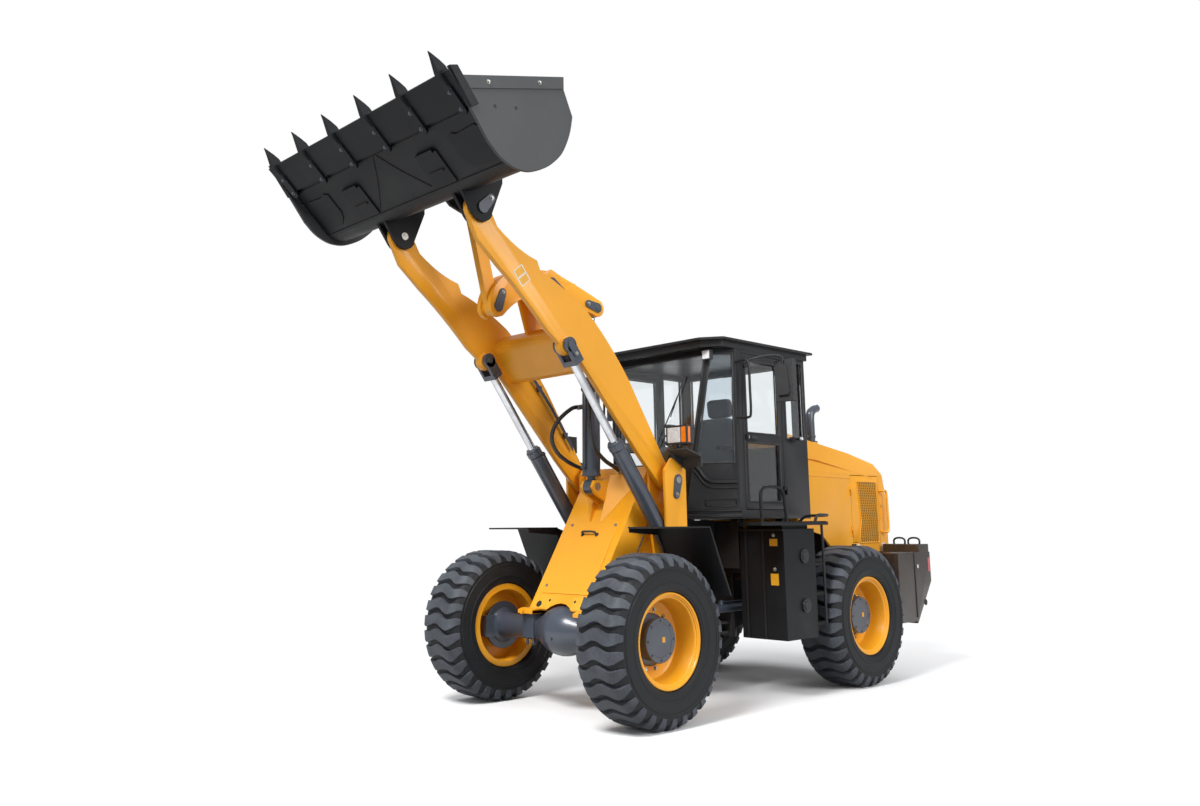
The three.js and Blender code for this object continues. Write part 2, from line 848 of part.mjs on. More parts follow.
const tankInner = 640; // the side boxes' inner face
const rearFrame = () => {
  const railShape = [
    [-420, 560],
    [-420, 1200],
    [-900, 1200],
    [-2500, 1200],
    [-2500, 900],
    [-1900, 890],
    [-1250, 890],
    [-1000, 700],
    [-700, 560],
  ];
  const rails = bothSides(sidePlate(railShape, railY - 20, railY));
  const front = box(-440, -415, -railY, railY, 480, 1200);
  const crossing = box(-1150, -1100, -railY, railY, 900, 1200);
  const tail = box(-2500, -2470, -railY, railY, 850, 1200);
  const forkPlate = (z) =>
    join(
      roundZ([0, 0], pivotEarRadius, z - 14, z + 14, 24),
      floorPlate(
        [
          [0, -pivotEarRadius],
          [0, pivotEarRadius],
          [-420, 260],
          [-420, -260],
        ],
        z - 14,
        z + 14,
      ),
    );
  const forkOffset = earThickness / 2 + swingGap + 14;
  const forks = [upperEarZ, lowerEarZ].flatMap((z) => [
    forkPlate(z - forkOffset),
    forkPlate(z + forkOffset),
  ]);
  const pivotPins = [upperEarZ, lowerEarZ].map((z) =>
    roundZ([0, 0], pivotPinRadius, z - forkOffset - 20, z + forkOffset + 20, 24),
  );
  const steerLugs = bothSides(
    join(
      box(-700, -600, railY - 10, steerBase[1] + 40, 700, 722),
      box(-700, -600, railY - 10, steerBase[1] + 40, 802, 824),
      roundZ(steerBase, steerPinRadius, 700, 824),
    ),
  );
  const cabMounts = [-200, -900].flatMap((x) =>
    bothSides(box(x - 60, x + 60, 250, 600, 1200 - 5, 1240)),
  );
  const cabPosts = [-200, -900].flatMap((x) =>
    bothSides(box(x - 40, x + 40, 520, 600, 1200, cabFloor - seatGap)),
  );
  const cabArms = bothSides(box(-430, -140, 250, railY, 1150, 1240));
  const tankArms = bothSides(box(-520, -440, railY - 5, tankInner - seatGap, 1000, 1060));
  // two hangers hold the rear axle's stub, in front of the ball and behind it
  const hangerShape = [
    [-railY + 5, railTop],
    [-railY + 5, 900],
    [-120, axleHeight - 10],
    [-70, axleHeight - 95],
    [70, axleHeight - 95],
    [120, axleHeight - 10],
    [railY - 5, 900],
    [railY - 5, railTop],
  ];
  const hangers = [rearAxleX - stubReach + 15, rearAxleX + stubReach - 45].map((x) =>
    cut(
      crossPlate(hangerShape, x, x + 30),
      roundX(
        [0, axleHeight],
        holeRadius(stubRadius, pinClearance, stubSides),
        x - 1,
        x + 31,
        stubSides,
      ),
    ),
  );
  return join(
    ...rails,
    front,
    crossing,
    tail,
    ...forks,
    ...pivotPins,
    ...steerLugs,
    ...cabMounts,
    ...cabPosts,
    ...cabArms,
    ...tankArms,
    ...hangers,
  );
};
place("rear_frame", rearFrame(), blackPaint);

const swingStub = roundX(
  [0, axleHeight],
  stubRadius,
  rearAxleX - stubReach,
  rearAxleX + stubReach,
  stubSides,
);
place("rear_axle", axle(rearAxleX, swingStub), greyPaint);
place("engine_block", box(-2350, -1250, -280, 280, railTop + seatGap, 1750), greyPaint);

const weightRear = -2850;
const weightTop = 1210;
const tyreRoom = 80; // between the rear tyres and the weight's wings
const wingFront = rearAxleX - tyreRadius - tyreRoom;
const counterweight = () =>
  join(
    sidePlate(
      [
        [-2500 - seatGap, 500],
        [-2500 - seatGap, weightTop],
        [weightRear, weightTop],
        [weightRear, 910],
        [-2520, 500],
      ],
      -1050,
      1050,
    ),
    ...bothSides(box(-2520, wingFront, 840, 1050, 520, weightTop)),
    ...bothSides(box(-2850, -2640, hoodHalfWidth + 40, 1040, weightTop - 5, 1290)),
  );
place("counterweight", counterweight(), castBrown);

const hoodFront = -1130;
const hoodWall = 25;
const stackSeat = 2365;
const hoodBase = weightTop + seatGap;
const shoulderLow = 2040;
const shoulderIn = 150; // how far the flanks lean in by the height of the stack's top
const hoodDoor = { front: -2120, rear: -2680, low: 1310, high: 2010 };
const hoodOutline = (inset) => [
  [hoodFront - inset / 25, 1480 - inset / 25],
  [hoodFront - inset / 25, 2400 - 1.2 * inset],
  [-1400, 2360 - 1.2 * inset],
  [-2200, 2240 - 1.2 * inset],
  [-2650, 2140 - 1.2 * inset],
  [hoodRear + inset, 2020 - inset],
  [-2850 + inset + 10, 1760],
  [-2850 + inset + 10, hoodBase - inset / 25],
  [-1780, hoodBase - inset / 25],
  [-1540, 1400 - inset / 25],
];
const hoodHinge = [hoodDoor.front, hoodHalfWidth + 12];
const hoodKnuckles = knuckles(hoodHinge, 9, 50, [1380, 1800], 24, hoodHalfWidth);
const engineHood = () => {
  // the flanks lean in above the shoulder line
  const shoulder = (inset) =>
    bothSides(
      crossPlate(
        [
          [hoodHalfWidth - inset, shoulderLow],
          [hoodHalfWidth + 50, shoulderLow],
          [hoodHalfWidth + 50, 2600],
          [hoodHalfWidth - shoulderIn - inset, 2600],
        ],
        hoodRear - 200,
        hoodFront + 50,
      ),
    );
  const outer = cut(sidePlate(hoodOutline(0), -hoodHalfWidth, hoodHalfWidth), ...shoulder(0));
  const inner = cut(
    sidePlate(hoodOutline(hoodWall), -hoodHalfWidth + hoodWall, hoodHalfWidth - hoodWall),
    ...shoulder(hoodWall),
  );
  const { front, rear, low, high } = hoodDoor;
  const doorways = box(rear, front, -hoodHalfWidth - 10, hoodHalfWidth + 10, low, high);
  return join(
    cut(outer, inner, doorways),
    roundZ([-1980, 250], 70, 2240, stackSeat),
    ...hoodKnuckles.turning.flatMap(bothSides),
  );
};
place("engine_hood", engineHood(), yellowPaint);
const hoodDoorPanel = () =>
  join(
    box(
      hoodDoor.rear + swingGap,
      hoodDoor.front - swingGap,
      hoodHalfWidth - hoodWall,
      hoodHalfWidth,
      hoodDoor.low + swingGap,
      hoodDoor.high - swingGap,
    ),
    ...hoodKnuckles.fixed,
  );
placePair("hood_door", hoodDoorPanel(), yellowPaint);
place(
  "exhaust_stack",
  join(
    roundZ([-1980, 250], 45, stackSeat + seatGap, 2600),
    bar(
      [
        [-1980, 250, 2560],
        [-1980, 250, 2640],
        [-2010, 250, 2710],
        [-2120, 250, 2750],
      ],
      45,
      6,
      12,
    ),
  ),
  greyPaint,
);

// ---------------------------------------------------------------- cab

const cabFront = 330;
const cabFrontHalf = 390;
const cabDoorPost = 10;
const cabTop = roofHeight - 90;
const cabWall = 40;
const leanBack = 165; // how far the windscreen's top lies behind its foot
const leanOut = 198; // how much further out its top corners are
const doorway = { front: -70, rear: -690, low: 1640, high: 3060 };

// Leans an upright piece in front of the door posts back, as the front of the cab does
const lean = (geometry) => {
  const position = geometry.attributes.position;
  for (let i = 0; i < position.count; i++) {
    const [x, y, z] = [position.getX(i), position.getY(i), position.getZ(i)];
    const ahead = Math.max(0, (x - cabDoorPost) / (cabFront - cabDoorPost));
    const share = (ahead * (z - cabFloor)) / (cabTop - cabFloor);
    const outward = (Math.sign(y) * Math.min(Math.abs(y), cabFrontHalf)) / cabFrontHalf;
    position.setXYZ(i, x - leanBack * share, y + leanOut * outward * share, z);
  }
  return geometry;
};
const cabPlan = (inset = 0) => [
  [cabRear + inset, -cabHalfWidth + inset],
  [cabDoorPost, -cabHalfWidth + inset],
  [cabFront - inset, -cabFrontHalf],
  [cabFront - inset, cabFrontHalf],
  [cabDoorPost, cabHalfWidth - inset],
  [cabRear + inset, cabHalfWidth - inset],
];

// An upright slab along the slanting corner of the cab, between two shares of its length
// and two distances outward from its face
const slantX = cabFront - cabDoorPost;
const slantY = cabHalfWidth - cabFrontHalf;
const slantLength = Math.hypot(slantX, slantY);
const slantSlab = (share0, share1, out0, out1, z0, z1) => {
  const at = (share, out) => [
    cabDoorPost + slantX * share + (out * slantY) / slantLength,
    cabHalfWidth - slantY * share + (out * slantX) / slantLength,
  ];
  return floorPlate([at(share0, out0), at(share1, out0), at(share1, out1), at(share0, out1)], z0, z1);
};

const screenHalf = cabFrontHalf - 25;
const screen = { low: 2060, high: 3045 };
const backLight = { half: 620, low: 2260, high: 3040 };
const sideLight = { rear: -1050, front: -750, low: 2310, high: 3050 };
const doorHinge = [doorway.rear, cabHalfWidth + 25];
const doorKnuckles = knuckles(doorHinge, 12, 40, [1780, 2880], 34, cabHalfWidth);
const cabFrame = () => {
  const body = lean(floorPlate(cabPlan(), cabFloor, cabTop));
  const hollow = lean(floorPlate(cabPlan(cabWall), cabFloor + 60, roofHeight));
  const front = lean(
    box(cabFront - 60, cabFront + 20, -screenHalf, screenHalf, screen.low, screen.high),
  );
  const back = box(
    cabRear - 50,
    cabRear + 100,
    -backLight.half,
    backLight.half,
    backLight.low,
    backLight.high,
  );
  const doorways = box(doorway.rear, doorway.front, -1000, 1000, doorway.low, doorway.high);
  const sides = box(sideLight.rear, sideLight.front, -1000, 1000, sideLight.low, sideLight.high);
  const quarters = bothSides(lean(slantSlab(0.1, 0.92, -60, 40, screen.low, screen.high)));
  const shell = cut(body, hollow, front, back, doorways, sides, ...quarters);
  return join(shell, ...doorKnuckles.fixed.flatMap(bothSides));
};
place("cab_frame", cabFrame(), blackPaint);

const roofEdge = 25;
const cabRoof = () => {
  const corner = 90;
  const [x0, x1, half] = [-1198 + roofEdge, 351 - roofEdge, 805 - roofEdge];
  const shape = new THREE.Shape();
  shape.moveTo(x0 + corner, -half);
  shape.lineTo(x1 - corner, -half);
  shape.absarc(x1 - corner, -half + corner, corner, -Math.PI / 2, 0, false);
  shape.lineTo(x1, half - corner);
  shape.absarc(x1 - corner, half - corner, corner, 0, Math.PI / 2, false);
  shape.lineTo(x0 + corner, half);
  shape.absarc(x0 + corner, half - corner, corner, Math.PI / 2, Math.PI, false);
  shape.lineTo(x0, -half + corner);
  shape.absarc(x0 + corner, -half + corner, corner, Math.PI, 1.5 * Math.PI, false);
  const height = roofHeight - cabTop - seatGap;
  return new THREE.ExtrudeGeometry(shape, {
    depth: height - 2 * roofEdge,
    bevelThickness: roofEdge,
    bevelSize: roofEdge,
    bevelSegments: 2,
    curveSegments: 4,
  }).translate(0, 0, cabTop + seatGap + roofEdge);
};
place("cab_roof", cabRoof(), blackPaint);

const doorGap = 5;
const doorBars = 55;
const doorGlass = {
  rear: doorway.rear + doorGap + doorBars,
  front: doorway.front - doorGap - doorBars,
  low: 2330,
  high: doorway.high - doorGap - doorBars,
};
const lowerRail = 70; // of the door, under its lower opening
const midRail = 80; // of the door, under its glass
const doorPanel = () =>
  cut(
    box(
      doorway.rear + doorGap,
      doorway.front - doorGap,
      cabHalfWidth - cabWall,
      cabHalfWidth,
      doorway.low + doorGap,
      doorway.high - doorGap,
    ),
    box(doorGlass.rear, doorGlass.front, 600, 900, doorGlass.low, doorGlass.high),
    box(doorGlass.rear, doorGlass.front, 600, 900, doorway.low + lowerRail, doorGlass.low - midRail),
  );
placePair("door", join(doorPanel(), ...doorKnuckles.turning), blackPaint);

const glassOuter = 18; // the panes' faces, in from the outside of the cab
const glassInner = 24;
const paneMargin = 10; // the leaning windscreen stands this far inside its opening's sides
placePair(
  "door_glass",
  box(
    doorGlass.rear + seatGap,
    doorGlass.front - seatGap,
    cabHalfWidth - glassInner,
    cabHalfWidth - glassOuter,
    doorGlass.low + seatGap,
    doorGlass.high - seatGap,
  ),
  cabGlass,
);
placePair(
  "side_glass",
  box(
    sideLight.rear + seatGap,
    sideLight.front - seatGap,
    cabHalfWidth - glassInner,
    cabHalfWidth - glassOuter,
    sideLight.low + seatGap,
    sideLight.high - seatGap,
  ),
  cabGlass,
);
placePair(
  "quarter_glass",
  lean(
    slantSlab(0.102, 0.918, -glassInner, -glassOuter, screen.low + seatGap, screen.high - seatGap),
  ),
  cabGlass,
);
place(
  "windscreen",
  lean(
    box(
      cabFront - glassInner,
      cabFront - glassOuter,
      -screenHalf + paneMargin,
      screenHalf - paneMargin,
      screen.low + seatGap,
      screen.high - seatGap,
    ),
  ),
  cabGlass,
);
place(
  "rear_window",
  box(
    cabRear + glassOuter,
    cabRear + glassInner,
    -backLight.half + seatGap,
    backLight.half - seatGap,
    backLight.low + seatGap,
    backLight.high - seatGap,
  ),
  cabGlass,
);

// Mirrors on the doors, each on a bent arm
const mirrorY = 1050;
placePair(
  "mirror",
  join(
    bar(
      [
        [-130, cabHalfWidth + 8, 2960],
        [-140, 850, 3000],
        [-260, 1000, 3050],
        [-330, mirrorY, 3030],
        [-330, mirrorY, 2900],
      ],
      11,
      14,
    ),
    box(-155, -105, cabHalfWidth + seatGap, cabHalfWidth + 12, 2930, 2990),
    box(-375, -300, mirrorY - 100, mirrorY + 100, 2600, 2990),
  ),
  blackPaint,
);

// Side boxes under the doors with a platform, steps and a handrail
const tankFront = -120;
const tankRear = -600;
const tankOuter = 1100;
const deckTop = 1530;
const stepBox = () =>
  join(
    box(tankRear, tankFront, tankInner, tankOuter, 520, 1470),
    floorPlate(
      [
        [-830, 700],
        [-10, 700],
        [-10, 860],
        [270, 1020],
        [270, 1150],
        [-760, 1150],
        [-830, 1080],
      ],
      deckTop - 30,
      deckTop,
    ),
    box(-560, -160, 700, 1060, 1460, deckTop - 20),
    ...[620, 880, 1140].map((z) => box(-750, tankRear + 5, 900, 1095, z, z + 25)),
    bar(
      [
        [230, 1130, deckTop - 10],
        [225, 1130, 1790],
        [180, 1130, 1820],
        [-40, 1130, 1820],
        [-90, 1130, 1790],
        [-140, 1130, deckTop - 10],
      ],
      14,
      20,
    ),
  );
placePair("step_box", stepBox(), blackPaint);
place(
  "operator_seat",
  join(
    box(-700, -250, -240, 240, 1980, 2120),
    box(-760, -640, -230, 230, 2060, 2560),
    box(-770, -680, -120, 120, 2550, 2760),
    box(-600, -350, -150, 150, cabFloor + 60 + seatGap, 1990),
  ),
  seatCloth,
);
place(
  "steering_column",
  join(
    box(60, 200, -120, 120, cabFloor + 60 + seatGap, 2150),
    bar(
      [
        [100, 0, 2140],
        [-60, 0, 2330],
      ],
      30,
      2,
      12,
    ),
    roundZ([-60, 0], 190, 2300, 2330, 24),
  ),
  blackPaint,
);

loader.position.x = -originX;
export default loader;
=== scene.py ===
import json
import math

import bmesh
import bpy
from bpy.props import FloatProperty, FloatVectorProperty, IntProperty, PointerProperty
from mathutils import Matrix, Vector

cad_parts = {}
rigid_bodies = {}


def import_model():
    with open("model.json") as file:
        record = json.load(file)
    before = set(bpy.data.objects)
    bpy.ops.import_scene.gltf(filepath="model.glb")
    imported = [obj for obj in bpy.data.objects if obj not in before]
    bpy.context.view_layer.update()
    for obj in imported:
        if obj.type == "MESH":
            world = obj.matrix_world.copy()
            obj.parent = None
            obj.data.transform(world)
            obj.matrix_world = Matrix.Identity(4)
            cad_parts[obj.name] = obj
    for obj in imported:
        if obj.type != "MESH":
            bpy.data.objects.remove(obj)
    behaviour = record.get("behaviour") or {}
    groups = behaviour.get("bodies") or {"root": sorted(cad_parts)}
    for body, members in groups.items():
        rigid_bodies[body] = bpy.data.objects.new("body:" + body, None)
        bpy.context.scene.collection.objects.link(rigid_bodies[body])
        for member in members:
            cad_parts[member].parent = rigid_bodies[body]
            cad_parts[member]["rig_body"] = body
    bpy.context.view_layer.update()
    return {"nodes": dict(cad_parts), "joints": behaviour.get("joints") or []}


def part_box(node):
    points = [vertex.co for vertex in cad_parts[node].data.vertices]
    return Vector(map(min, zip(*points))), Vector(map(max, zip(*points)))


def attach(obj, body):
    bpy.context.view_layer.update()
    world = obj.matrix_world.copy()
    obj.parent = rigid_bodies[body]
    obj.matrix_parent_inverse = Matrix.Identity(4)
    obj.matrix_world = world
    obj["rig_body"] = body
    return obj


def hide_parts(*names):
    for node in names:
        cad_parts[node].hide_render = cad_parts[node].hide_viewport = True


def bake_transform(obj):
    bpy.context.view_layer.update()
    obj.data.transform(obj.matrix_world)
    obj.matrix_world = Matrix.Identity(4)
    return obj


bl_info = {
    "name": "Wheel loader",
    "version": (1, 0, 0),
    "blender": (4, 5, 0),
    "location": "View3D > Sidebar > Loader",
    "description": "Finishes an articulated wheel loader on its packed frame",
    "category": "Object",
}

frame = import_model()
JOINTS = {joint["name"]: joint for joint in frame["joints"]}
PIVOT_X = JOINTS["articulation"]["pos_m"][0]


def spot(x, y, z):
    """A point measured in millimetres from under the articulation pin."""
    return Vector((PIVOT_X + x / 1000, y / 1000, z / 1000))


def pin_at(name, y=0.0):
    """A joint's place, moved across the machine to y."""
    at = JOINTS[name]["pos_m"]
    return Vector((at[0], y, at[2]))


# ---------------------------------------------------------------- sizes and colours


class LoaderSizes(bpy.types.PropertyGroup):
    """Sizes of the detail that is added to the frame."""

    edge: FloatProperty(
        name="Plate edge", description="Rounding of the cut edges of plates", default=0.003, unit="LENGTH"
    )
    tread_depth: FloatProperty(
        name="Tread depth", description="Height of the tyre lugs", default=0.032, unit="LENGTH"
    )
    tread_count: IntProperty(name="Lugs", description="Lugs around each tyre", default=30)
    hose_radius: FloatProperty(
        name="Hose radius", description="Half the thickness of a hydraulic hose", default=0.018, unit="LENGTH"
    )


class LoaderColours(bpy.types.PropertyGroup):
    """Colours of the paints and other finishes."""

    yellow: FloatVectorProperty(
        name="Body yellow", description="Main paint", default=(0.93, 0.40, 0.015), subtype="COLOR"
    )
    black: FloatVectorProperty(
        name="Chassis black", description="Cab and chassis paint", default=(0.011, 0.011, 0.012),
        subtype="COLOR"
    )
    slate: FloatVectorProperty(
        name="Slate", description="Paint of cylinders and axles", default=(0.055, 0.068, 0.092),
        subtype="COLOR"
    )
    rubber: FloatVectorProperty(
        name="Rubber", description="Tyre rubber", default=(0.036, 0.040, 0.047), subtype="COLOR"
    )


# ---------------------------------------------------------------- finishes

MADE = {}  # the finishes made so far


def node_maker(tree):
    """A function that adds a shader node to a tree and sets its inputs and settings."""

    def node(kind, **values):
        made = tree.nodes.new("ShaderNode" + kind)
        for key, value in values.items():
            if key in made.inputs:
                made.inputs[key].default_value = value
            else:
                setattr(made, key, value)
        return made

    return node


def shader(name):
    """A new material with its links, its principled shader and a node maker."""
    material = bpy.data.materials.new(name)
    material.use_nodes = True
    tree = material.node_tree
    return material, tree.links, tree.nodes["Principled BSDF"], node_maker(tree)


def tint(colour):
    """A colour, given outright or as one of the scene's paints with a share of its strength."""
    if isinstance(colour[0], str):
        paint, share = colour
        return tuple(part * share for part in getattr(bpy.context.scene.loader_colours, paint))
    return colour


def mottled(
    name, colour, second, scale, roughness, spread, bump, grain,
    soften=0.0, specular=0.5, metallic=0.0, coat=0.0, cloud=(5.0, 0.6), stops=(0.35, 0.62), span=(0.3, 0.7),
    fineness=3.0,
):
    """A finish whose colour and gloss vary softly in patches, with a fine grain and softened edges."""
    material, links, principled, node = shader(name)
    place = node("TexCoord").outputs["Object"]
    patches = node("TexNoise", Scale=scale, Detail=cloud[0], Roughness=cloud[1])
    fine = node("TexNoise", Scale=grain, Detail=fineness)
    for noise in (patches, fine):
        links.new(place, noise.inputs["Vector"])
    ramp = node("ValToRGB")
    elements = ramp.color_ramp.elements
    for element, at, shade in ((elements[0], stops[0], second), (elements[1], stops[1], colour)):
        element.position = at
        element.color = (*tint(shade), 1)
    limits = {"From Min": span[0], "From Max": span[1], "To Min": roughness + spread, "To Max": roughness}
    gloss = node("MapRange", **limits)
    relief = node("Bump", Strength=bump, Distance=0.002)
    links.new(patches.outputs["Fac"], ramp.inputs["Fac"])
    links.new(ramp.outputs["Color"], principled.inputs["Base Color"])
    links.new(patches.outputs["Fac"], gloss.inputs["Value"])
    links.new(gloss.outputs["Result"], principled.inputs["Roughness"])
    links.new(fine.outputs["Fac"], relief.inputs["Height"])
    if soften:
        rounded = node("Bevel", Radius=soften, samples=4)
        links.new(rounded.outputs["Normal"], relief.inputs["Normal"])
    links.new(relief.outputs["Normal"], principled.inputs["Normal"])
    for socket, value in (
        ("Metallic", metallic),
        ("Specular IOR Level", specular),
        ("Coat Weight", coat),
        ("Coat Roughness", 0.12),
    ):
        principled.inputs[socket].default_value = value
    return material


def clear_pane(name, colour, roughness):
    """Clear glass with a thin uneven film."""
    material, links, principled, node = shader(name)
    place = node("TexCoord")
    film = node("TexNoise", Scale=6.0, Detail=4.0)
    links.new(place.outputs["Object"], film.inputs["Vector"])
    gloss = node("MapRange", **{"To Min": roughness, "To Max": roughness + 0.03})
    links.new(film.outputs["Fac"], gloss.inputs["Value"])
    links.new(gloss.outputs["Result"], principled.inputs["Roughness"])
    for socket, value in (("Base Color", (*colour, 1)), ("Transmission Weight", 1.0), ("IOR", 1.45)):
        principled.inputs[socket].default_value = value
    return material


def woven_cloth(name, dark, pale):
    """Cloth of two crossing sets of fine threads."""
    material, links, principled, node = shader(name)
    place = node("TexCoord")
    both = node("Math", operation="MULTIPLY")
    for i, direction in enumerate("YZ"):
        wave = node("TexWave", Scale=160.0, Distortion=0.6, bands_direction=direction)
        links.new(place.outputs["Object"], wave.inputs["Vector"])
        links.new(wave.outputs["Fac"], both.inputs[i])
    ramp = node("ValToRGB")
    for element, shade in zip(ramp.color_ramp.elements, (dark, pale)):
        element.color = (*shade, 1)
    links.new(both.outputs["Value"], ramp.inputs["Fac"])
    links.new(ramp.outputs["Color"], principled.inputs["Base Color"])
    relief = node("Bump", Strength=0.4, Distance=0.001)
    links.new(both.outputs["Value"], relief.inputs["Height"])
    links.new(relief.outputs["Normal"], principled.inputs["Normal"])
    principled.inputs["Roughness"].default_value = 0.9
    principled.inputs["Sheen Weight"].default_value = 0.3
    return material


SOFT_EDGE = 0.004  # how far the shading of a paint rounds hard edges
WORN = {"specular": 0.28, "cloud": (8.0, 0.7), "stops": (0.3, 0.72), "span": (0.0, 1.0), "fineness": 4.0}


def soft(**values):
    return {"soften": SOFT_EDGE, **values}


# key: material, colour, second colour, patch scale, roughness, its spread, bump, grain scale, other settings
MOTTLED = {
    "yellow": (
        "body_yellow", ("yellow", 1), ("yellow", 0.93), 1.6, 0.34, 0.10, 0.05, 260,
        soft(coat=0.15, specular=0.4),
    ),
    "black": (
        "chassis_black", ("black", 1), ("black", 1.8), 2.2, 0.30, 0.16, 0.07, 240,
        soft(coat=0.05, specular=0.3),
    ),
    "slate": ("slate_paint", ("slate", 1), ("slate", 0.8), 4.0, 0.30, 0.12, 0.06, 300, soft(coat=0.3)),
    "bucket": (
        "bucket_black", (0.0035, 0.004, 0.0055), (0.006, 0.0066, 0.008), 3.0, 0.44, 0.14, 0.16, 320,
        soft(specular=0.22),
    ),
    "bucket_side": (
        "bucket_side_paint", (0.040, 0.042, 0.045), (0.052, 0.054, 0.057), 3.0, 0.46, 0.1, 0.16, 320,
        soft(specular=0.35),
    ),
    "bronze": (
        "bronze_casting", (0.020, 0.014, 0.011), (0.038, 0.024, 0.017), 26.0, 0.32, 0.2, 0.25, 120,
        soft(coat=0.3),
    ),
    "steel": (
        "steel_bright", (0.52, 0.53, 0.55), (0.40, 0.41, 0.43), 9.0, 0.12, 0.08, 0.02, 500, {"metallic": 1.0}
    ),
    "zinc": (
        "zinc_plate", (0.42, 0.42, 0.41), (0.30, 0.29, 0.26), 40.0, 0.30, 0.15, 0.08, 400, {"metallic": 0.9}
    ),
    "rubber": ("tyre_rubber", ("rubber", 0.33), ("rubber", 0.121), 5.0, 0.75, -0.33, 0.25, 130, WORN),
    "tread": ("tread_rubber", ("rubber", 2.55), ("rubber", 0.935), 5.0, 0.75, -0.33, 0.25, 130, WORN),
    "hose": ("hose_rubber", (0.010, 0.010, 0.011), (0.018, 0.018, 0.018), 30.0, 0.38, 0.15, 0.2, 700, {}),
    "trim": ("cab_trim", (0.028, 0.029, 0.031), (0.020, 0.021, 0.022), 8.0, 0.55, 0.15, 0.3, 900, {}),
    "amber": ("amber_lens", (0.95, 0.23, 0.01), (0.85, 0.18, 0.01), 30.0, 0.15, 0.1, 0.3, 300, {"coat": 0.8}),
    "red": ("red_lens", (0.55, 0.01, 0.01), (0.45, 0.01, 0.01), 30.0, 0.2, 0.1, 0.3, 300, {"coat": 0.8}),
    # painted reflection: a pale, non-metallic white that stands for the bright reflection of lamp reflectors and
    # mirror glass
    "reflector": ("reflector_chrome", (0.92, 0.93, 0.95), (0.70, 0.72, 0.75), 60.0, 0.30, 0.08, 0.5, 60, {}),
    "label": ("label_yellow", (0.85, 0.42, 0.02), (0.78, 0.38, 0.02), 20.0, 0.35, 0.1, 0.05, 300, {}),
    "plate": ("label_white", (0.78, 0.79, 0.80), (0.70, 0.71, 0.72), 20.0, 0.35, 0.1, 0.05, 300, {}),
    # painted shade: a near-black for discs and thin sheets that stand for the shade inside holes and behind
    # grilles
    "vent": ("vent_dark", (0.012, 0.010, 0.009), (0.02, 0.017, 0.014), 20.0, 0.7, 0.1, 0.1, 300, {}),
}
# key: material, colour, least roughness
PANES = {
    "glass": ("cab_glass", (0.93, 0.955, 0.965), 0.0),
    "tinted": ("tinted_glass", (0.66, 0.74, 0.80), 0.0),
    "lens": ("lamp_lens", (0.97, 0.98, 1.0), 0.06),
}
CLOTHS = {"cloth": ("seat_cloth", (0.07, 0.07, 0.075), (0.24, 0.24, 0.26))}


def finish(key):
    """The material for a finish, made when it is first asked for."""
    if key not in MADE:
        if key in MOTTLED:
            *plain, others = MOTTLED[key]
            MADE[key] = mottled(*plain, **others)
        elif key in PANES:
            MADE[key] = clear_pane(*PANES[key])
        else:
            MADE[key] = woven_cloth(*CLOTHS[key])
    return MADE[key]


# ---------------------------------------------------------------- shape making


def across(axis):
    """Two directions at right angles to an axis."""
    axis = Vector(axis).normalized()
    side = Vector((0, 0, 1)) if abs(axis.z) < 0.9 else Vector((1, 0, 0))
    first = side.cross(axis).normalized()
    return axis, first, axis.cross(first)


BOX_FACES = [(0, 1, 3, 2), (4, 6, 7, 5), (0, 4, 5, 1), (2, 3, 7, 6), (0, 2, 6, 4), (1, 5, 7, 3)]


def around(count, first, second, start=0.0):
    """Directions spread evenly round a circle that turns from the first direction to the second."""
    first, second = Vector(first), Vector(second)
    turns = [start + 2 * math.pi * i / count for i in range(count)]
    return [first * math.cos(turn) + second * math.sin(turn) for turn in turns]


def tube_faces(rings, sides):
    """Faces of a closed tube of rings, which have as many points as it has sides."""
    last = (rings - 1) * sides
    faces = [tuple(range(sides)), tuple(range(last, last + sides))]
    for at in range(0, last, sides):
        faces += [
            (at + k, at + (k + 1) % sides, at + sides + (k + 1) % sides, at + sides + k) for k in range(sides)
        ]
    return faces


def rectangle(a0, b0, a1, b1):
    return [(a0, b0), (a1, b0), (a1, b1), (a0, b1)]


def flip(mesh):
    """Mirrors a mesh in the machine's middle plane."""
    bmesh.ops.scale(mesh, vec=(1, -1, 1), verts=mesh.verts)
    bmesh.ops.reverse_faces(mesh, faces=mesh.faces)


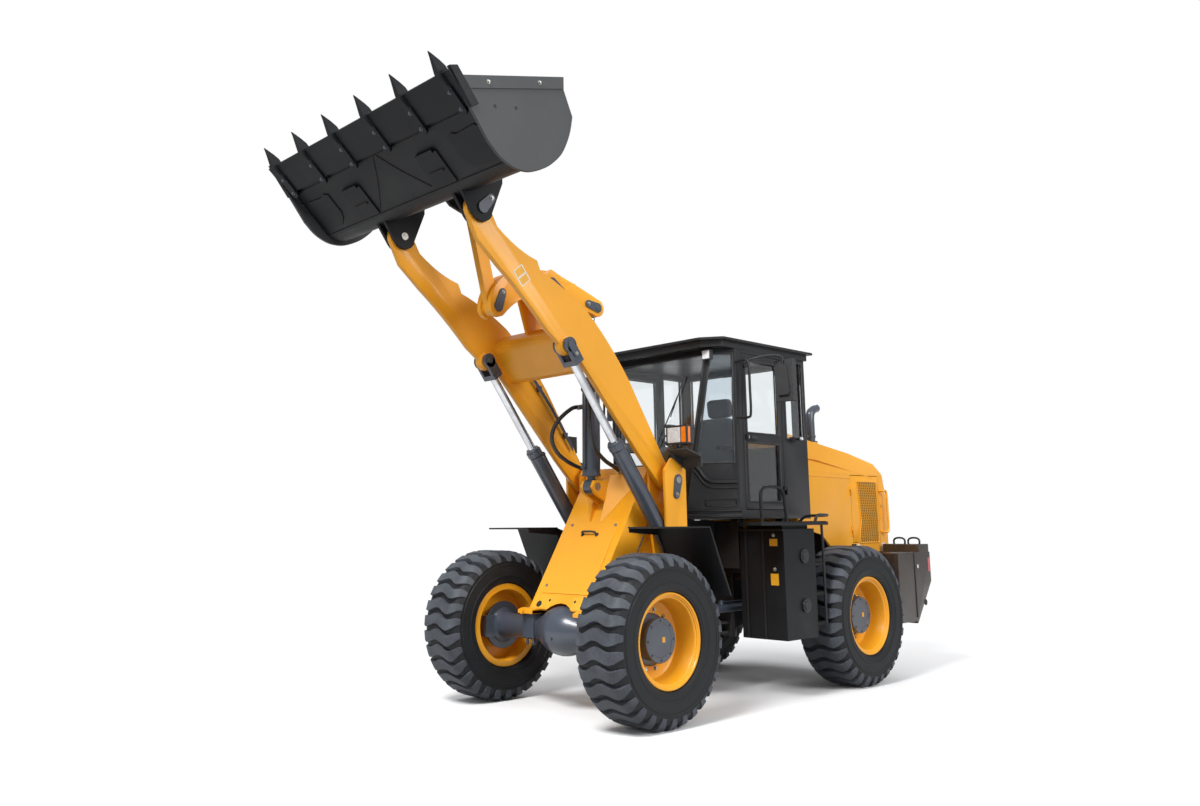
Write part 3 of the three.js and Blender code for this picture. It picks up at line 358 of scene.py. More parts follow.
class Shape:
    """A mesh being made, with a material slot for each finish it uses."""

    def __init__(self, name):
        self.name = name
        self.mesh = bmesh.new()
        self.used = []
        self.index = 0

    def use(self, name):
        if name not in self.used:
            self.used.append(name)
        self.index = self.used.index(name)
        return self

    def add(self, points, faces):
        verts = [self.mesh.verts.new(p) for p in points]
        made = []
        for loop in faces:
            face = self.mesh.faces.new([verts[i] for i in loop])
            face.material_index = self.index
            face.smooth = True
            made.append(face)
        bmesh.ops.recalc_face_normals(self.mesh, faces=made)
        return self

    def box(self, low, high):
        (x0, y0, z0), (x1, y1, z1) = low, high
        points = [(x, y, z) for x in (x0, x1) for y in (y0, y1) for z in (z0, z1)]
        return self.add(points, BOX_FACES)

    def block(self, low, high):
        """A box between two corners in millimetres from under the articulation pin."""
        return self.box(spot(*low), spot(*high))

    def slab(self, outline, place):
        """A closed outline drawn at two depths: place(a, b, end) gives a point, end 0 or 1."""
        count = len(outline)
        points = [place(a, b, end) for end in (0, 1) for a, b in outline]
        sides = [(i, (i + 1) % count, (i + 1) % count + count, i + count) for i in range(count)]
        return self.add(points, [tuple(range(count)), tuple(range(count, 2 * count)), *sides])

    def side_slab(self, outline, y0, y1):
        return self.slab(outline, lambda x, z, end: (x, (y0, y1)[end], z))

    def floor_slab(self, outline, z0, z1):
        return self.slab(outline, lambda x, y, end: (x, y, (z0, z1)[end]))

    def front_slab(self, outline, x0, x1):
        return self.slab(outline, lambda y, z, end: ((x0, x1)[end], y, z))

    def raised(self, outline, place, low, high):
        """A slab between two heights over a slope, whose place(a, b, height) gives a point."""
        return self.slab(outline, lambda a, b, end: place(a, b, (low, high)[end]))

    def turned(self, profile, origin, axis, steps=40, closed=True):
        """A profile of (radius, distance along the axis), turned about the axis."""
        axis, first, second = across(axis)
        origin = Vector(origin)
        points, rings = [], []
        for radius, along in profile:
            middle = origin + axis * along
            if radius < 1e-6:
                rings.append([len(points)] * steps)
                points.append(middle)
                continue
            rings.append(list(range(len(points), len(points) + steps)))
            points += [middle + spoke * radius for spoke in around(steps, first, second)]
        faces = []
        pairs = list(zip(rings, rings[1:])) + ([(rings[-1], rings[0])] if closed else [])
        for one, two in pairs:
            for i in range(steps):
                j = (i + 1) % steps
                loop = list(dict.fromkeys([one[i], one[j], two[j], two[i]]))
                if len(loop) > 2:
                    faces.append(loop)
        return self.add(points, faces)

    def rod(self, origin, axis, radius, start, end, steps=32, chamfer=0.002):
        edge = min(chamfer, radius / 3, abs(end - start) / 3)
        profile = [(0, start), (radius - edge, start), (radius, start + edge)]
        profile += [(radius, end - edge), (radius - edge, end), (0, end)]
        return self.turned(profile, origin, axis, steps, closed=False)

    def ring(self, origin, axis, outer, inner, start, end, steps=40):
        edge = min(0.002, (outer - inner) / 3, (end - start) / 3)
        profile = [(inner, start), (outer - edge, start), (outer, start + edge)]
        profile += [(outer, end - edge), (outer - edge, end), (inner, end)]
        return self.turned(profile, origin, axis, steps)

    def bolt(self, origin, axis, radius=0.011):
        """A washer and a six-sided head standing on a face."""
        self.rod(origin, axis, radius * 1.45, 0, radius * 0.28, 18, 0.0008)
        return self.rod(origin, axis, radius, radius * 0.25, radius * 1.1, 6, radius * 0.16)

    def link_plate(self, first, radius0, second, radius1, y0, y1):
        """A flat keeper with round ends, in the plane across the machine."""
        (ax, az), (bx, bz) = first, second
        lean = math.atan2(bz - az, bx - ax)
        outline = []
        for (x, z), radius, turn in (((ax, az), radius0, math.pi), ((bx, bz), radius1, 0)):
            for i in range(13):
                angle = lean + turn - math.pi / 2 + math.pi * i / 12
                outline.append((x + radius * math.cos(angle), z + radius * math.sin(angle)))
        return self.side_slab(outline, y0, y1)

    def bent(self, points, radius, steps=6, sides=12):
        """A round bar along a smooth line through the points, with closed ends."""
        path = smooth_line(points, steps)
        made, before = [], None
        for i, point in enumerate(path):
            ahead = path[min(i + 1, len(path) - 1)] - path[max(i - 1, 0)]
            axis, first, second = across(ahead)
            if before is not None:
                first = (before - axis * before.dot(axis)).normalized()
                second = axis.cross(first)
            before = first
            made += [point + spoke * radius for spoke in around(sides, first, second)]
        return self.add(made, tube_faces(len(path), sides))

    def keeper(self, pin, dx, dz, radius0, radius1, y0, y1):
        """A flat keeper on a pin's end, with the bolt that holds it (dx, dz) away."""
        self.use("slate").link_plate((pin.x, pin.z), radius0, (pin.x + dx, pin.z + dz), radius1, y0, y1)
        return self.use("zinc").bolt((pin.x + dx, y1, pin.z + dz), ACROSS, 0.013)

    def place(self, body, replaces=(), width=0.0, both=False, flipped=False):
        """Makes a piece of the mesh, on both sides of the machine or flipped to the other if asked."""
        if flipped:
            flip(self.mesh)
        if both:
            other = self.mesh.copy()
            flip(other)
            spare = bpy.data.meshes.new("spare")
            other.to_mesh(spare)
            other.free()
            self.mesh.from_mesh(spare)
            bpy.data.meshes.remove(spare)
        return as_piece(self.name, self.mesh, self.used, width, body, replaces)


def as_piece(name, mesh, used, width, body, replaces, segments=2):
    """Makes a piece of a mesh, its plate edges rounded by width, which rides on body and stands for nodes."""
    data = bpy.data.meshes.new(name)
    mesh.to_mesh(data)
    mesh.free()
    piece = bpy.data.objects.new(name, data)
    bpy.context.scene.collection.objects.link(piece)
    for key in used:
        data.materials.append(finish(key))
    soften_edges(piece, width, segments)
    if body:
        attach(piece, body)
    if replaces:
        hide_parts(*replaces)
    return piece


def smooth_line(points, steps):
    """A line through the points with steps short pieces between each two of them."""
    points = [Vector(p) for p in points]
    ends = [2 * points[0] - points[1], *points, 2 * points[-1] - points[-2]]
    line = []
    for a, b, c, d in zip(ends, ends[1:], ends[2:], ends[3:]):
        for i in range(steps):
            t = i / steps
            line.append(
                0.5
                * ((2 * b) + (c - a) * t + (2 * a - 5 * b + 4 * c - d) * t * t + (3 * b - a - 3 * c + d) * t ** 3)
            )
    return [*line, points[-1]]


def soften_edges(piece, width, segments):
    """Rounds edges sharper than ROUNDED_ANGLE by width, or only marks the sharp ones if width is 0."""
    if width:
        rounding = piece.modifiers.new("rounded edges", "BEVEL")
        rounding.width = width
        rounding.segments = segments
        rounding.limit_method = "ANGLE"
        rounding.angle_limit = ROUNDED_ANGLE
        rounding.use_clamp_overlap = True
        rounding.harden_normals = True
    else:
        piece.data.set_sharp_from_angle(angle=SHARP_ANGLE)


def rounded_copy(node, finish_name, width, segments=2):
    """A copy of a frame node with its edges rounded, which stands for that node."""
    source = frame["nodes"][node]
    shape = bmesh.new()
    shape.from_mesh(source.data)
    bmesh.ops.remove_doubles(shape, verts=shape.verts, dist=WELD)
    bmesh.ops.dissolve_limit(shape, angle_limit=FLAT_ANGLE, verts=shape.verts, edges=shape.edges)
    for face in shape.faces:
        face.smooth = True
    as_piece(node + "_finished", shape, [finish_name], width, source["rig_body"], [node], segments)


def dress(node, finish_name):
    """Gives a frame node that stays its finish."""
    node = frame["nodes"][node]
    node.data.materials.clear()
    node.data.materials.append(finish(finish_name))


SIDES = (("left", 1), ("right", -1))
ACROSS = (0, 1, 0)
ROUNDED_ANGLE, SHARP_ANGLE, FLAT_ANGLE = (math.radians(a) for a in (32, 35, 0.6))
WELD = 2e-5  # points closer than this are one point


def outline(*points):
    """Points (x, z) in millimetres from the articulation pin, for a side slab."""
    return [(PIVOT_X + x / 1000, z / 1000) for x, z in points]


def spots(*points):
    return [spot(*point) for point in points]


def pair(side, near, far):
    """The ends, in order, of a stretch from near to far on one side of the machine."""
    return sorted((side * near, side * far))


def slope(top, foot, down=False):
    """The outward direction of a plane from top to foot, and a way to place points (a, b, height) on it."""
    along = (foot - top).normalized()
    out = Vector((-along.z, 0, along.x))
    if down and out.z > 0:
        out = -out
    return out, lambda a, b, height: top + along * a + Vector((0, b, 0)) + out * height


def sizes():
    return bpy.context.scene.loader_sizes


# ---------------------------------------------------------------- wheels

BUCKET_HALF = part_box("bucket")[1].y
WHEEL_MIDDLE = 0.935  # from the machine's middle to a tyre's middle
CROWN = 0.650  # the tread's outer radius
# where a lug is cut across the tread: (distance from the middle, radius, share of its full width)
SHOULDER = [(0.186, 0.632, 0.95), (0.211, 0.598, 0.75), (0.2195, 0.555, 0.6)]
TREAD = [-0.150, -0.115, -0.080, -0.040, 0.0, 0.040, 0.080, 0.115, 0.150]
LUG_CUTS = [(-y, radius, share) for y, radius, share in reversed(SHOULDER)]
LUG_CUTS += [(y, CROWN - 0.0006 * abs(y) / 0.15, 1.0) for y in TREAD] + SHOULDER
LUG_TOP, LUG_FOOT = 0.066, 0.078  # half angles of a lug at its top and foot


def lug_mesh(shape, centre, side, turn0, depth):
    """One lug that winds across the whole tread and runs down both shoulders."""
    points = []
    for y, radius, share in LUG_CUTS:
        turn = turn0 + 0.033 * math.cos(2 * math.pi * y / 0.27) + 0.016 * math.sin(2 * math.pi * y / 0.44)
        foot_y = max(-0.205, min(0.205, y * 0.95))
        foot_radius = radius - depth * (1 if abs(y) < 0.19 else 0.35)
        for half, r, across_y in (
            (-LUG_FOOT, foot_radius, foot_y),
            (-LUG_TOP, radius, y),
            (LUG_TOP, radius, y),
            (LUG_FOOT, foot_radius, foot_y),
        ):
            angle = turn + half * share
            points.append(centre + Vector((r * math.cos(angle), side * across_y, r * math.sin(angle))))
    shape.add(points, tube_faces(len(LUG_CUTS), 4))


def make_tyre(name, centre, side):
    tyre = Shape(name + "_tyre_tread").use("rubber")
    flank = [(0.331, 0.165), (0.363, 0.166), (0.368, 0.196), (0.381, 0.205), (0.386, 0.2105), (0.394, 0.2105)]
    flank += [
        (0.400, 0.212), (0.428, 0.2165), (0.431, 0.2205), (0.437, 0.2205), (0.440, 0.2175), (0.500, 0.2195)
    ]
    flank += [
        (0.517, 0.2185), (0.520, 0.2225), (0.527, 0.2225), (0.530, 0.2170), (0.545, 0.216), (0.549, 0.2185),
        (0.556, 0.2185),
    ]
    flank += [(0.562, 0.213), (0.590, 0.202), (0.612, 0.178), (0.620, 0.145), (0.622, 0.06)]
    profile = flank + [(r, -h) for r, h in reversed(flank)]
    tyre.turned(profile, centre, (0, side, 0), 72)
    tyre.use("tread")
    for turn in [2 * math.pi * (i + 0.5) / sizes().tread_count for i in range(sizes().tread_count)]:
        lug_mesh(tyre, centre, side, turn, sizes().tread_depth)
    tyre.place(name + "_wheel", [name + "_tyre"])


def make_rim(name, centre, side):
    axis = (0, side, 0)
    rim = Shape(name + "_rim_dish").use("yellow")
    profile = [(0.308, -0.187), (0.345, -0.189), (0.359, -0.185), (0.360, -0.173), (0.334, -0.169)]
    profile += [(0.326, -0.10), (0.322, 0.0), (0.327, 0.12), (0.334, 0.168), (0.352, 0.170), (0.359, 0.174)]
    profile += [
        (0.362, 0.181), (0.359, 0.188), (0.351, 0.190), (0.343, 0.188), (0.339, 0.180), (0.331, 0.178)
    ]
    profile += [(0.329, 0.170), (0.318, 0.166), (0.312, 0.156), (0.310, 0.120), (0.303, 0.108), (0.300, 0.03)]
    profile += [(0.292, 0.0), (0.268, -0.014), (0.215, -0.019), (0, -0.019), (0, -0.037), (0.296, -0.037)]
    rim.turned(profile, centre, axis, 72)
    rim.use("steel")
    valve = centre + Vector((0.26, side * -0.012, 0.12))
    rim.rod(valve, (0.2, side, 0), 0.005, 0, 0.05, 12)
    for spoke in around(12, (1, 0, 0), (0, 0, 1), math.pi / 12):
        rim.bolt(centre + spoke * 0.228 + Vector((0, side * -0.019, 0)), axis, 0.013)
    rim.place(name + "_wheel", [name + "_rim"])

    hub = Shape(name + "_hub_cover").use("slate")
    profile = [(0, -0.02), (0.198, -0.02), (0.198, -0.004), (0.190, 0.002), (0.158, 0.004), (0.152, 0.012)]
    profile += [
        (0.150, 0.062), (0.156, 0.068), (0.168, 0.070), (0.170, 0.074), (0.170, 0.092), (0.166, 0.097)
    ]
    profile += [(0.128, 0.098), (0.124, 0.094), (0.0, 0.094)]
    hub.turned(profile, centre, axis, 64, closed=False)
    for spoke in around(8, (1, 0, 0), (0, 0, 1)):
        hub.bolt(centre + spoke * 0.147 + Vector((0, side * 0.097, 0)), axis, 0.008)
    tag = rectangle(centre.x - 0.050, centre.z - 0.018, centre.x - 0.018, centre.z + 0.022)
    hub.use("label").side_slab(tag, centre.y + side * 0.0935, centre.y + side * 0.0955)
    hub.place(name + "_wheel")


class LOADER_OT_wheels(bpy.types.Operator):
    """Tyres with their tread, dished rims and hub covers"""

    bl_idname = "loader.wheels"
    bl_label = "Wheels"

    def execute(self, context):
        for end in ("front", "rear"):
            for word, side in SIDES:
                name = f"{end}_{word}"
                centre = pin_at(name + "_roll", side * WHEEL_MIDDLE)
                make_tyre(name, centre, side)
                make_rim(name, centre, side)
        return {"FINISHED"}


# ---------------------------------------------------------------- axles


def make_axle(node, body, nose):
    """A housing with its drive head on the side of the nose, 1 for backwards and -1 for forwards."""
    low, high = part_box(node)
    middle = Vector(((low.x + high.x) / 2, 0, JOINTS["front_left_roll"]["pos_m"][2]))
    if nose > 0:
        middle.x = JOINTS["rear_left_roll"]["pos_m"][0]
    axle = Shape(node + "_housing").use("slate")
    half = [(0.0, 0.876), (0.146, 0.876), (0.150, 0.870), (0.150, 0.775), (0.143, 0.765), (0.116, 0.755)]
    half += [(0.104, 0.66), (0.098, 0.50), (0.100, 0.40), (0.106, 0.30), (0.116, 0.25), (0.122, 0.235)]
    half += [(0.136, 0.206), (0.156, 0.172), (0.176, 0.136), (0.192, 0.096), (0.202, 0.052)]
    profile = [(r, -h) for r, h in half] + [(0.2065, 0.0)] + [(r, h) for r, h in reversed(half)]
    axle.turned(profile, middle, ACROSS, 56, closed=False)
    pad_inner, pad_outer = 0.262, 0.398
    for side in (-1, 1):
        # spring pads with the bolts that clamp them to the frame
        y0, y1 = pair(side, pad_inner, pad_outer)
        axle.box((middle.x - 0.128, y0, middle.z - 0.07), (middle.x + 0.128, y1, middle.z + 0.1295))
        for dx in (-0.098, 0.098):
            for y in (pad_inner + 0.030, pad_inner + 0.106):
                at = Vector((middle.x + dx, side * y, middle.z - 0.13))
                axle.rod(at, (0, 0, 1), 0.012, 0, 0.12, 14)
                axle.bolt(at + Vector((0, 0, 0.02)), (0, 0, -1), 0.014)
        # brake drum and caliper behind the wheel
        axle.ring(middle, (0, side, 0), 0.205, 0.12, 0.790, 0.812, 56)
        y0, y1 = pair(side, 0.765, 0.845)
        caliper = middle.x - 0.16 * nose
        axle.box((caliper - 0.06, y0, middle.z - 0.09), (caliper + 0.06, y1, middle.z + 0.09))
    ahead = Vector((nose, 0, 0))
    for spoke in around(10, ACROSS, (0, 0, 1)):
        axle.bolt(middle + ahead * 0.150 + spoke * 0.128, ahead, 0.009)
    for radius, start, end, sides, chamfer in (
        (0.145, 0.06, 0.150, 40, 0.01), (0.105, 0.14, 0.235, 40, 0.01), (0.062, 0.22, 0.288, 32, 0.004)
    ):
        axle.rod(middle, ahead, radius, start, end, sides, chamfer)
    if nose > 0:
        axle.rod(middle, -ahead, 0.0598, 0.15, 0.289, 40, 0.004)
    axle.bolt(middle + Vector((-nose * 0.197, 0.03, -0.045)), (-nose, 0, -0.2), 0.012)
    axle.place(body, [node], width=0.004)


class LOADER_OT_axles(bpy.types.Operator):
    """The two axle housings with their brakes and clamping bolts"""

    bl_idname = "loader.axles"
    bl_label = "Axles"

    def execute(self, context):
        make_axle("front_axle", "front_body", -1)
        make_axle("rear_axle", "rear_axle", 1)
        return {"FINISHED"}


# ---------------------------------------------------------------- cylinders


def make_ram(name, base, tip, cross, barrel, sizes_mm):
    """A barrel and a rod between two pins. cross is the pins' direction, barrel the barrel's length."""
    radius, rod_radius, eye, eye_width, end_width, inner, fork = (value / 1000 for value in sizes_mm)
    axis, length = (tip - base).normalized(), (tip - base).length
    side = sideways = Vector(cross)
    up = axis.cross(sideways).normalized()
    if up.z < 0:
        up = -up
    if abs(sideways.z) > 0.5:
        up, sideways = sideways, up
    tube = Shape(name + "_barrel_tube").use("slate")
    tube.rod(base, cross, eye, -eye_width / 2, eye_width / 2, 40, 0.004)
    tube.rod(base, axis, eye_width * 0.42, 0.02, eye + 0.03, 32)
    tube.rod(base, axis, radius, eye + 0.024, barrel - 0.072, 48, 0.006)
    for outer, hole, start, end in (
        (radius * 1.05, radius * 0.9, eye + 0.024, eye + 0.05),
        (radius * 1.1, rod_radius + 0.0006, barrel - 0.070, barrel - 0.022),
        (radius * 0.93, rod_radius + 0.0006, barrel - 0.024, barrel),
    ):
        tube.ring(base, axis, outer, hole, start, end, 48)
    for spoke in around(8, up, sideways, math.pi / 8):
        tube.bolt(base + axis * (barrel - 0.022) + spoke * radius, axis, radius * 0.085)
    # the two ports, and the pipe between them
    first_port, last_port = eye + 0.10, barrel - 0.11
    for at in (first_port, last_port):
        tube.rod(base + axis * at, up, 0.024, radius * 0.9, radius + 0.022, 20)
        tube.bolt(base + axis * at + up * (radius + 0.020), up, 0.016)
    run = ((first_port, 0.030), (eye + 0.14, 0.018), (barrel - 0.20, 0.018), (last_port, 0.030))
    tube.bent([base + axis * a + up * (radius + b) + sideways * 0.012 for a, b in run], 0.0085, 5, 10)
    tube.place(name + "_barrel", [name + "_barrel"], width=0.0015)

    rod = Shape(name + "_rod_bar").use("steel")
    if fork:
        shoulder = length - 2 * eye
        rod.rod(base, axis, rod_radius, inner, shoulder - 0.03, 48)
        rod.use("slate")
        half, gap, cheek = end_width / 2, fork / 2, eye * 0.8
        prongs = ((-half, -gap), (gap, half))
        blocks = [((-half, half), (shoulder - 0.045, shoulder))]
        blocks += [(prong, (shoulder - 0.004, length)) for prong in prongs]
        for widths, lengths in blocks:
            corners = [(u, v, w) for u in lengths for v in widths for w in (-cheek, cheek)]
            rod.add([base + axis * u + side * v + up * w for u, v, w in corners], BOX_FACES)
        for low, high in prongs:
            rod.rod(tip, side, eye, low, high, 40)
        rod.rod(tip, side, 0.026, -half - 0.008, half + 0.008, 24)
        outward = 1 if base.y > 0 else -1
        keep = tip + side * outward * half
        back = keep - axis * 0.085
        rod.link_plate((keep.x, keep.z), 0.036, (back.x, back.z), 0.028, keep.y, keep.y + outward * 0.010)
        rod.use("zinc").bolt(back + side * outward * 0.010, side * outward, 0.011)
    else:
        rod.rod(base, axis, rod_radius, inner, length - eye * 0.6, 48)
        rod.use("slate").rod(tip, cross, eye, -end_width / 2, end_width / 2, 40, 0.004)
        rod.rod(base, axis, rod_radius * 1.25, length - eye - 0.005, length - eye * 0.5, 32)
    rod.place(name + "_rod", [name + "_rod"], width=0.0015)


# millimetres: radius, rod's radius, eye's radius, eye's width, rod end's width, rod's start, fork's gap
LIFT_MM = (63, 35, 62, 120, 150, 1070, 90)
STEER_MM = (37, 22, 40, 60, 60, 385, 0)
TILT_MM = (78, 40, 68, 88, 84, 850, 0)
TILT_ROD_EYE = spot(1086, 0, 3427)
PIN_HOLE = 0.0335  # the radius of the hole in a boss


class LOADER_OT_cylinders(bpy.types.Operator):
    """Lift, tilt and steering cylinders with glands, ports and pipes"""

    bl_idname = "loader.cylinders"
    bl_label = "Cylinders"

    def execute(self, context):
        for word, side in SIDES:
            lift = spots((651, side * 500, 1250), (1903, side * 500, 2936))
            make_ram(word + "_lift", *lift, ACROSS, 1.180, LIFT_MM)
            steer = spots((-650, side * 440, 762), (400, side * 460, 762))
            make_ram(word + "_steer", *steer, (0, 0, 1), 0.700, STEER_MM)
        make_ram("tilt", pin_at("tilt_base_turn"), TILT_ROD_EYE, ACROSS, 0.960, TILT_MM)
        return {"FINISHED"}


# ---------------------------------------------------------------- boom, bellcrank and bucket


class LOADER_OT_linkage(bpy.types.Operator):
    """Boom, bellcrank, link and their pins with bolted keepers"""

    bl_idname = "loader.linkage"
    bl_label = "Linkage"

    def execute(self, context):
        for node, share in (("lift_arms", 1), ("bellcrank", 1.4), ("bucket_link", 1)):
            rounded_copy(node, "yellow", sizes().edge * share)
        for node in ("bellcrank_pin", "link_pin", "tilt_base_pin", "left_bucket_pin", "right_bucket_pin"):
            dress(node, "zinc")

        bosses = Shape("boom_bosses").use("yellow")
        hinge, foot, crank = (pin_at(name) for name in ("bucket_pin_turn", "boom_lift", "bellcrank_pin_turn"))
        for at, radius, height in ((foot, 0.085, 0.010), (hinge, 0.075, 0.004)):
            for y, out in ((0.4775, -1), (0.5225, 1)):
                bosses.ring(at + Vector((0, y, 0)), (0, out, 0), radius, PIN_HOLE, -0.002, height, 48)
        bosses.ring(crank + Vector((0, 0.130, 0)), ACROSS, 0.070, PIN_HOLE, -0.002, 0.005, 48)
        # pipe clips and a steel pipe along the inner face of the left arm
        bosses.use("slate")
        for z in (0, 26):
            bosses.bent(
                spots((900, 440, 2200 + z), (1150, 440, 2540 + z), (1420, 440, 2850 + z)), 0.008, 6, 10
            )
        for x, z in ((980, 2320), (1300, 2725)):
            bosses.block((x - 15, 436, z - 14), (x + 15, 478, z + 40))
        bosses.place("lift_arms", width=0.001, both=True)

        keepers = Shape("bellcrank_keepers")
        keepers.keeper(pin_at("link_pin_turn"), -0.045, 0.121, 0.044, 0.034, 0.085, 0.096)
        keepers.keeper(TILT_ROD_EYE, 0.119, 0.02, 0.044, 0.034, 0.085, 0.096)
        keepers.use("slate").rod(TILT_ROD_EYE, ACROSS, 0.030, 0.02, 0.102, 24)
        keepers.place("bellcrank", width=0.002, both=True)

        cap = Shape("bellcrank_pin_keeper")
        cap.keeper(crank, -0.115, -0.06, 0.046, 0.034, 0.1385, 0.149)
        cap.place("lift_arms", width=0.002, both=True)
        return {"FINISHED"}


# a tooth from its pad to its point: (distance from the lip, half width, low side, high side)
TOOTH = (
    (0.10, 0.030, 0.022, 0.044), (0.03, 0.034, 0.020, 0.056), (-0.012, 0.034, -0.030, 0.058),
    (-0.05, 0.031, -0.034, 0.046),
    (-0.10, 0.023, -0.026, 0.026), (-0.155, 0.011, -0.014, 0.006), (-0.186, 0.004, -0.006, -0.002),
)
PAD_RADIUS = 0.036


def tooth(shape, place, y):
    """A pointed tooth on a two-bolt pad under the bucket's edge."""
    pad = []
    for a0, sign in ((0.250, PAD_RADIUS), (0.085, -PAD_RADIUS)):
        for turn in [-math.pi / 2 + math.pi * i / 10 for i in range(11)]:
            pad.append((a0 + sign * math.cos(turn), y + sign * math.sin(turn)))
    shape.raised(pad, place, 0.020, 0.046)
    points = []
    for a, half, low, high in TOOTH:
        edges = ((-half, low), (half, low), (half * 0.7, high), (-half * 0.7, high))
        points += [place(a, y + b, height) for b, height in edges]
    shape.add(points, tube_faces(len(TOOTH), 4))
    shape.use("slate")
    for a in (0.105, 0.235):
        shape.bolt(place(a, y, 0.0455), place(0, 0, 1) - place(0, 0, 0), 0.011)
    shape.use("bucket")


def arm_labels():
    """Two blank labels with pale borders on the left arm's outer face."""
    labels = Shape("arm_labels")
    face = 0.5225
    up, along = Vector((0.62, 0, 0.785)), Vector((0.785, 0, -0.62))
    for shift in (-36, 36):
        centre = Vector((2374, 0, 3429)) + up * shift
        for word, grow, deep in (("plate", 35, 0.0008), ("label", 29, 0.0014)):
            corners = [centre + up * a * grow + along * b * grow * 1.6 for a, b in rectangle(-1, -1, 1, 1)]
            labels.use(word).side_slab(outline(*((c.x, c.z) for c in corners)), face, face + deep)
    labels.place("lift_arms")


def arc(x, z, radius, start, step, count):
    """Points on an arc, in millimetres and degrees."""
    turns = [math.radians(start + step * i) for i in range(count)]
    return [(x + radius * math.cos(turn), z + radius * math.sin(turn)) for turn in turns]


def curve(*points, steps):
    """A smooth line in millimetres in the machine's side view."""
    return [(p.x, p.z) for p in smooth_line([(x, 0, z) for x, z in points], steps)]


BUCKET_SKIN = curve(
    (3060, 3985), (2960, 3965), (2860, 4000), (2700, 4110), (2590, 4260), (2530, 4430), (2540, 4560),
    (2590, 4730), steps=5
)
BUCKET_SIDE = [(2583, 4655), (2581, 4734), (3546, 4456), (3479, 4314)] + curve(
    (3291, 4073), (3190, 3990), (3080, 3943), (2985, 3934), (2895, 3948), (2780, 3998), (2693, 4058),
    (2610, 4140),
    (2555, 4235), (2515, 4340), (2491, 4456), steps=4,
)
SIDE_STRIP = [(3530, 4461), (2583, 4734), (2583, 4640), (3490, 4378)]
SIDE_CUTTER = [(3628, 4498), (3560, 4520), (3380, 4300), (3440, 4262)]
LIP_EDGE = [(3612, 4488), (3420, 4312), (3437, 4290), (3632, 4466)]
TOP_BEAM = [(2566, 4646), (2640, 4646), (2646, 4724), (2572, 4731)]
ARM_EAR = [
    (2600, 4200), (2600, 4103), (2706, 3840), *arc(2800, 3875, 107, 200, 15.5, 9), (3000, 3970), (2900, 4020)
]
LINK_EAR = [(2600, 4400), (2700, 4150), (2620, 4080), *arc(2462, 4104, 68, -75, -20, 10)]
EARS = ((0.4375, 0.4675, ARM_EAR), (0.5325, 0.5625, ARM_EAR), (0.052, 0.082, LINK_EAR))
CORNER_PLATE = [
    (0.38, 0.90), (0.36, 0.86), (0.38, 0.80), (0.56, 0.80), (0.62, 0.84), (0.66, 0.90), (0.66, 1.12),
    (0.42, 1.16), (0.37, 1.10)
]
# raised plates under the floor: outline, height
FLOOR_PLATES = (
    (rectangle(0.42, 0.375, 0.69, 0.625), 0.012),
    (rectangle(0.40, 0.40, 0.428, 0.60), 0.026),
    (rectangle(0.56, 0.42, 0.58, 0.58), 0.022),
    (CORNER_PLATE, 0.008),
)
WELDS = (
    ((0.262, 0.0), (0.262, 0.6), (0.262, 1.20)),
    ((0.27, 0.02), (0.46, 0.16), (0.66, 0.34)),
    ((0.70, 0.0), (0.70, 0.6), (0.70, 1.19)),
)


class LOADER_OT_bucket(bpy.types.Operator):
    """Bucket with its bolted teeth, wear plates, side plates and hinge ears"""

    bl_idname = "loader.bucket"
    bl_label = "Bucket"

    def execute(self, context):
        half = BUCKET_HALF
        lip, heel = spots((3590, 0, 4470), (3060, 0, 3985))
        on_floor = slope(lip, heel, down=True)[1]

        # the shell: a flat floor that runs into a round back
        outer = [Vector((x, 0, z)) for x, z in ((3590, 4470), *BUCKET_SKIN)]
        centre = Vector((3000, 0, 4500))
        inner = [p + (centre - p).normalized() * 22 for p in reversed(outer)]
        section = outline(*((p.x, p.z) for p in outer + inner))
        shell = Shape("bucket_shell").use("bucket")
        shell.side_slab(section, -half + 0.014, half - 0.014)
        for side in (-1, 1):
            shell.use("bucket_side").side_slab(outline(*BUCKET_SIDE), *pair(side, half - 0.025, half))
            shell.side_slab(outline(*SIDE_STRIP), *pair(side, half, half + 0.008))
            shell.use("bucket").side_slab(outline(*SIDE_CUTTER), *pair(side, half - 0.02, half + 0.014))
            for near, far, ear in EARS:
                shell.side_slab(outline(*ear), *pair(side, near, far))
        shell.side_slab(outline(*LIP_EDGE), -half, half)
        shell.side_slab(outline(*TOP_BEAM), -half + 0.01, half - 0.01)
        shell.place("bucket", ["bucket"], width=0.004)

        trim = Shape("bucket_wear_parts").use("bucket")
        for y in (0.225, 0.675, 1.125):
            tooth(trim, on_floor, y)
        for plate, height in FLOOR_PLATES:
            trim.raised(plate, on_floor, 0.0, height)
        for weld in WELDS:
            trim.bent([on_floor(a, b, 0.001) for a, b in weld], 0.0045, 5, 6)
        # bolts on the side plates, and two dark discs of painted shade that stand for holes
        trim.use("zinc")
        for share in (0.25, 0.74):
            trim.bolt(spot(3546 - 963 * share - 12, 1228, 4456 + 278 * share - 44), ACROSS, 0.011)
        trim.use("vent")
        for x, z in ((3230, 4330), (3040, 4370)):
            trim.rod(spot(x, 1219, z), ACROSS, 0.013, 0, 0.0025, 20)
        trim.keeper(pin_at("bucket_pin_turn"), -0.078, 0.084, 0.046, 0.034, 0.567, 0.579)
        trim.place("bucket", width=0.002, both=True)
        arm_labels()
        return {"FINISHED"}


# ---------------------------------------------------------------- front frame


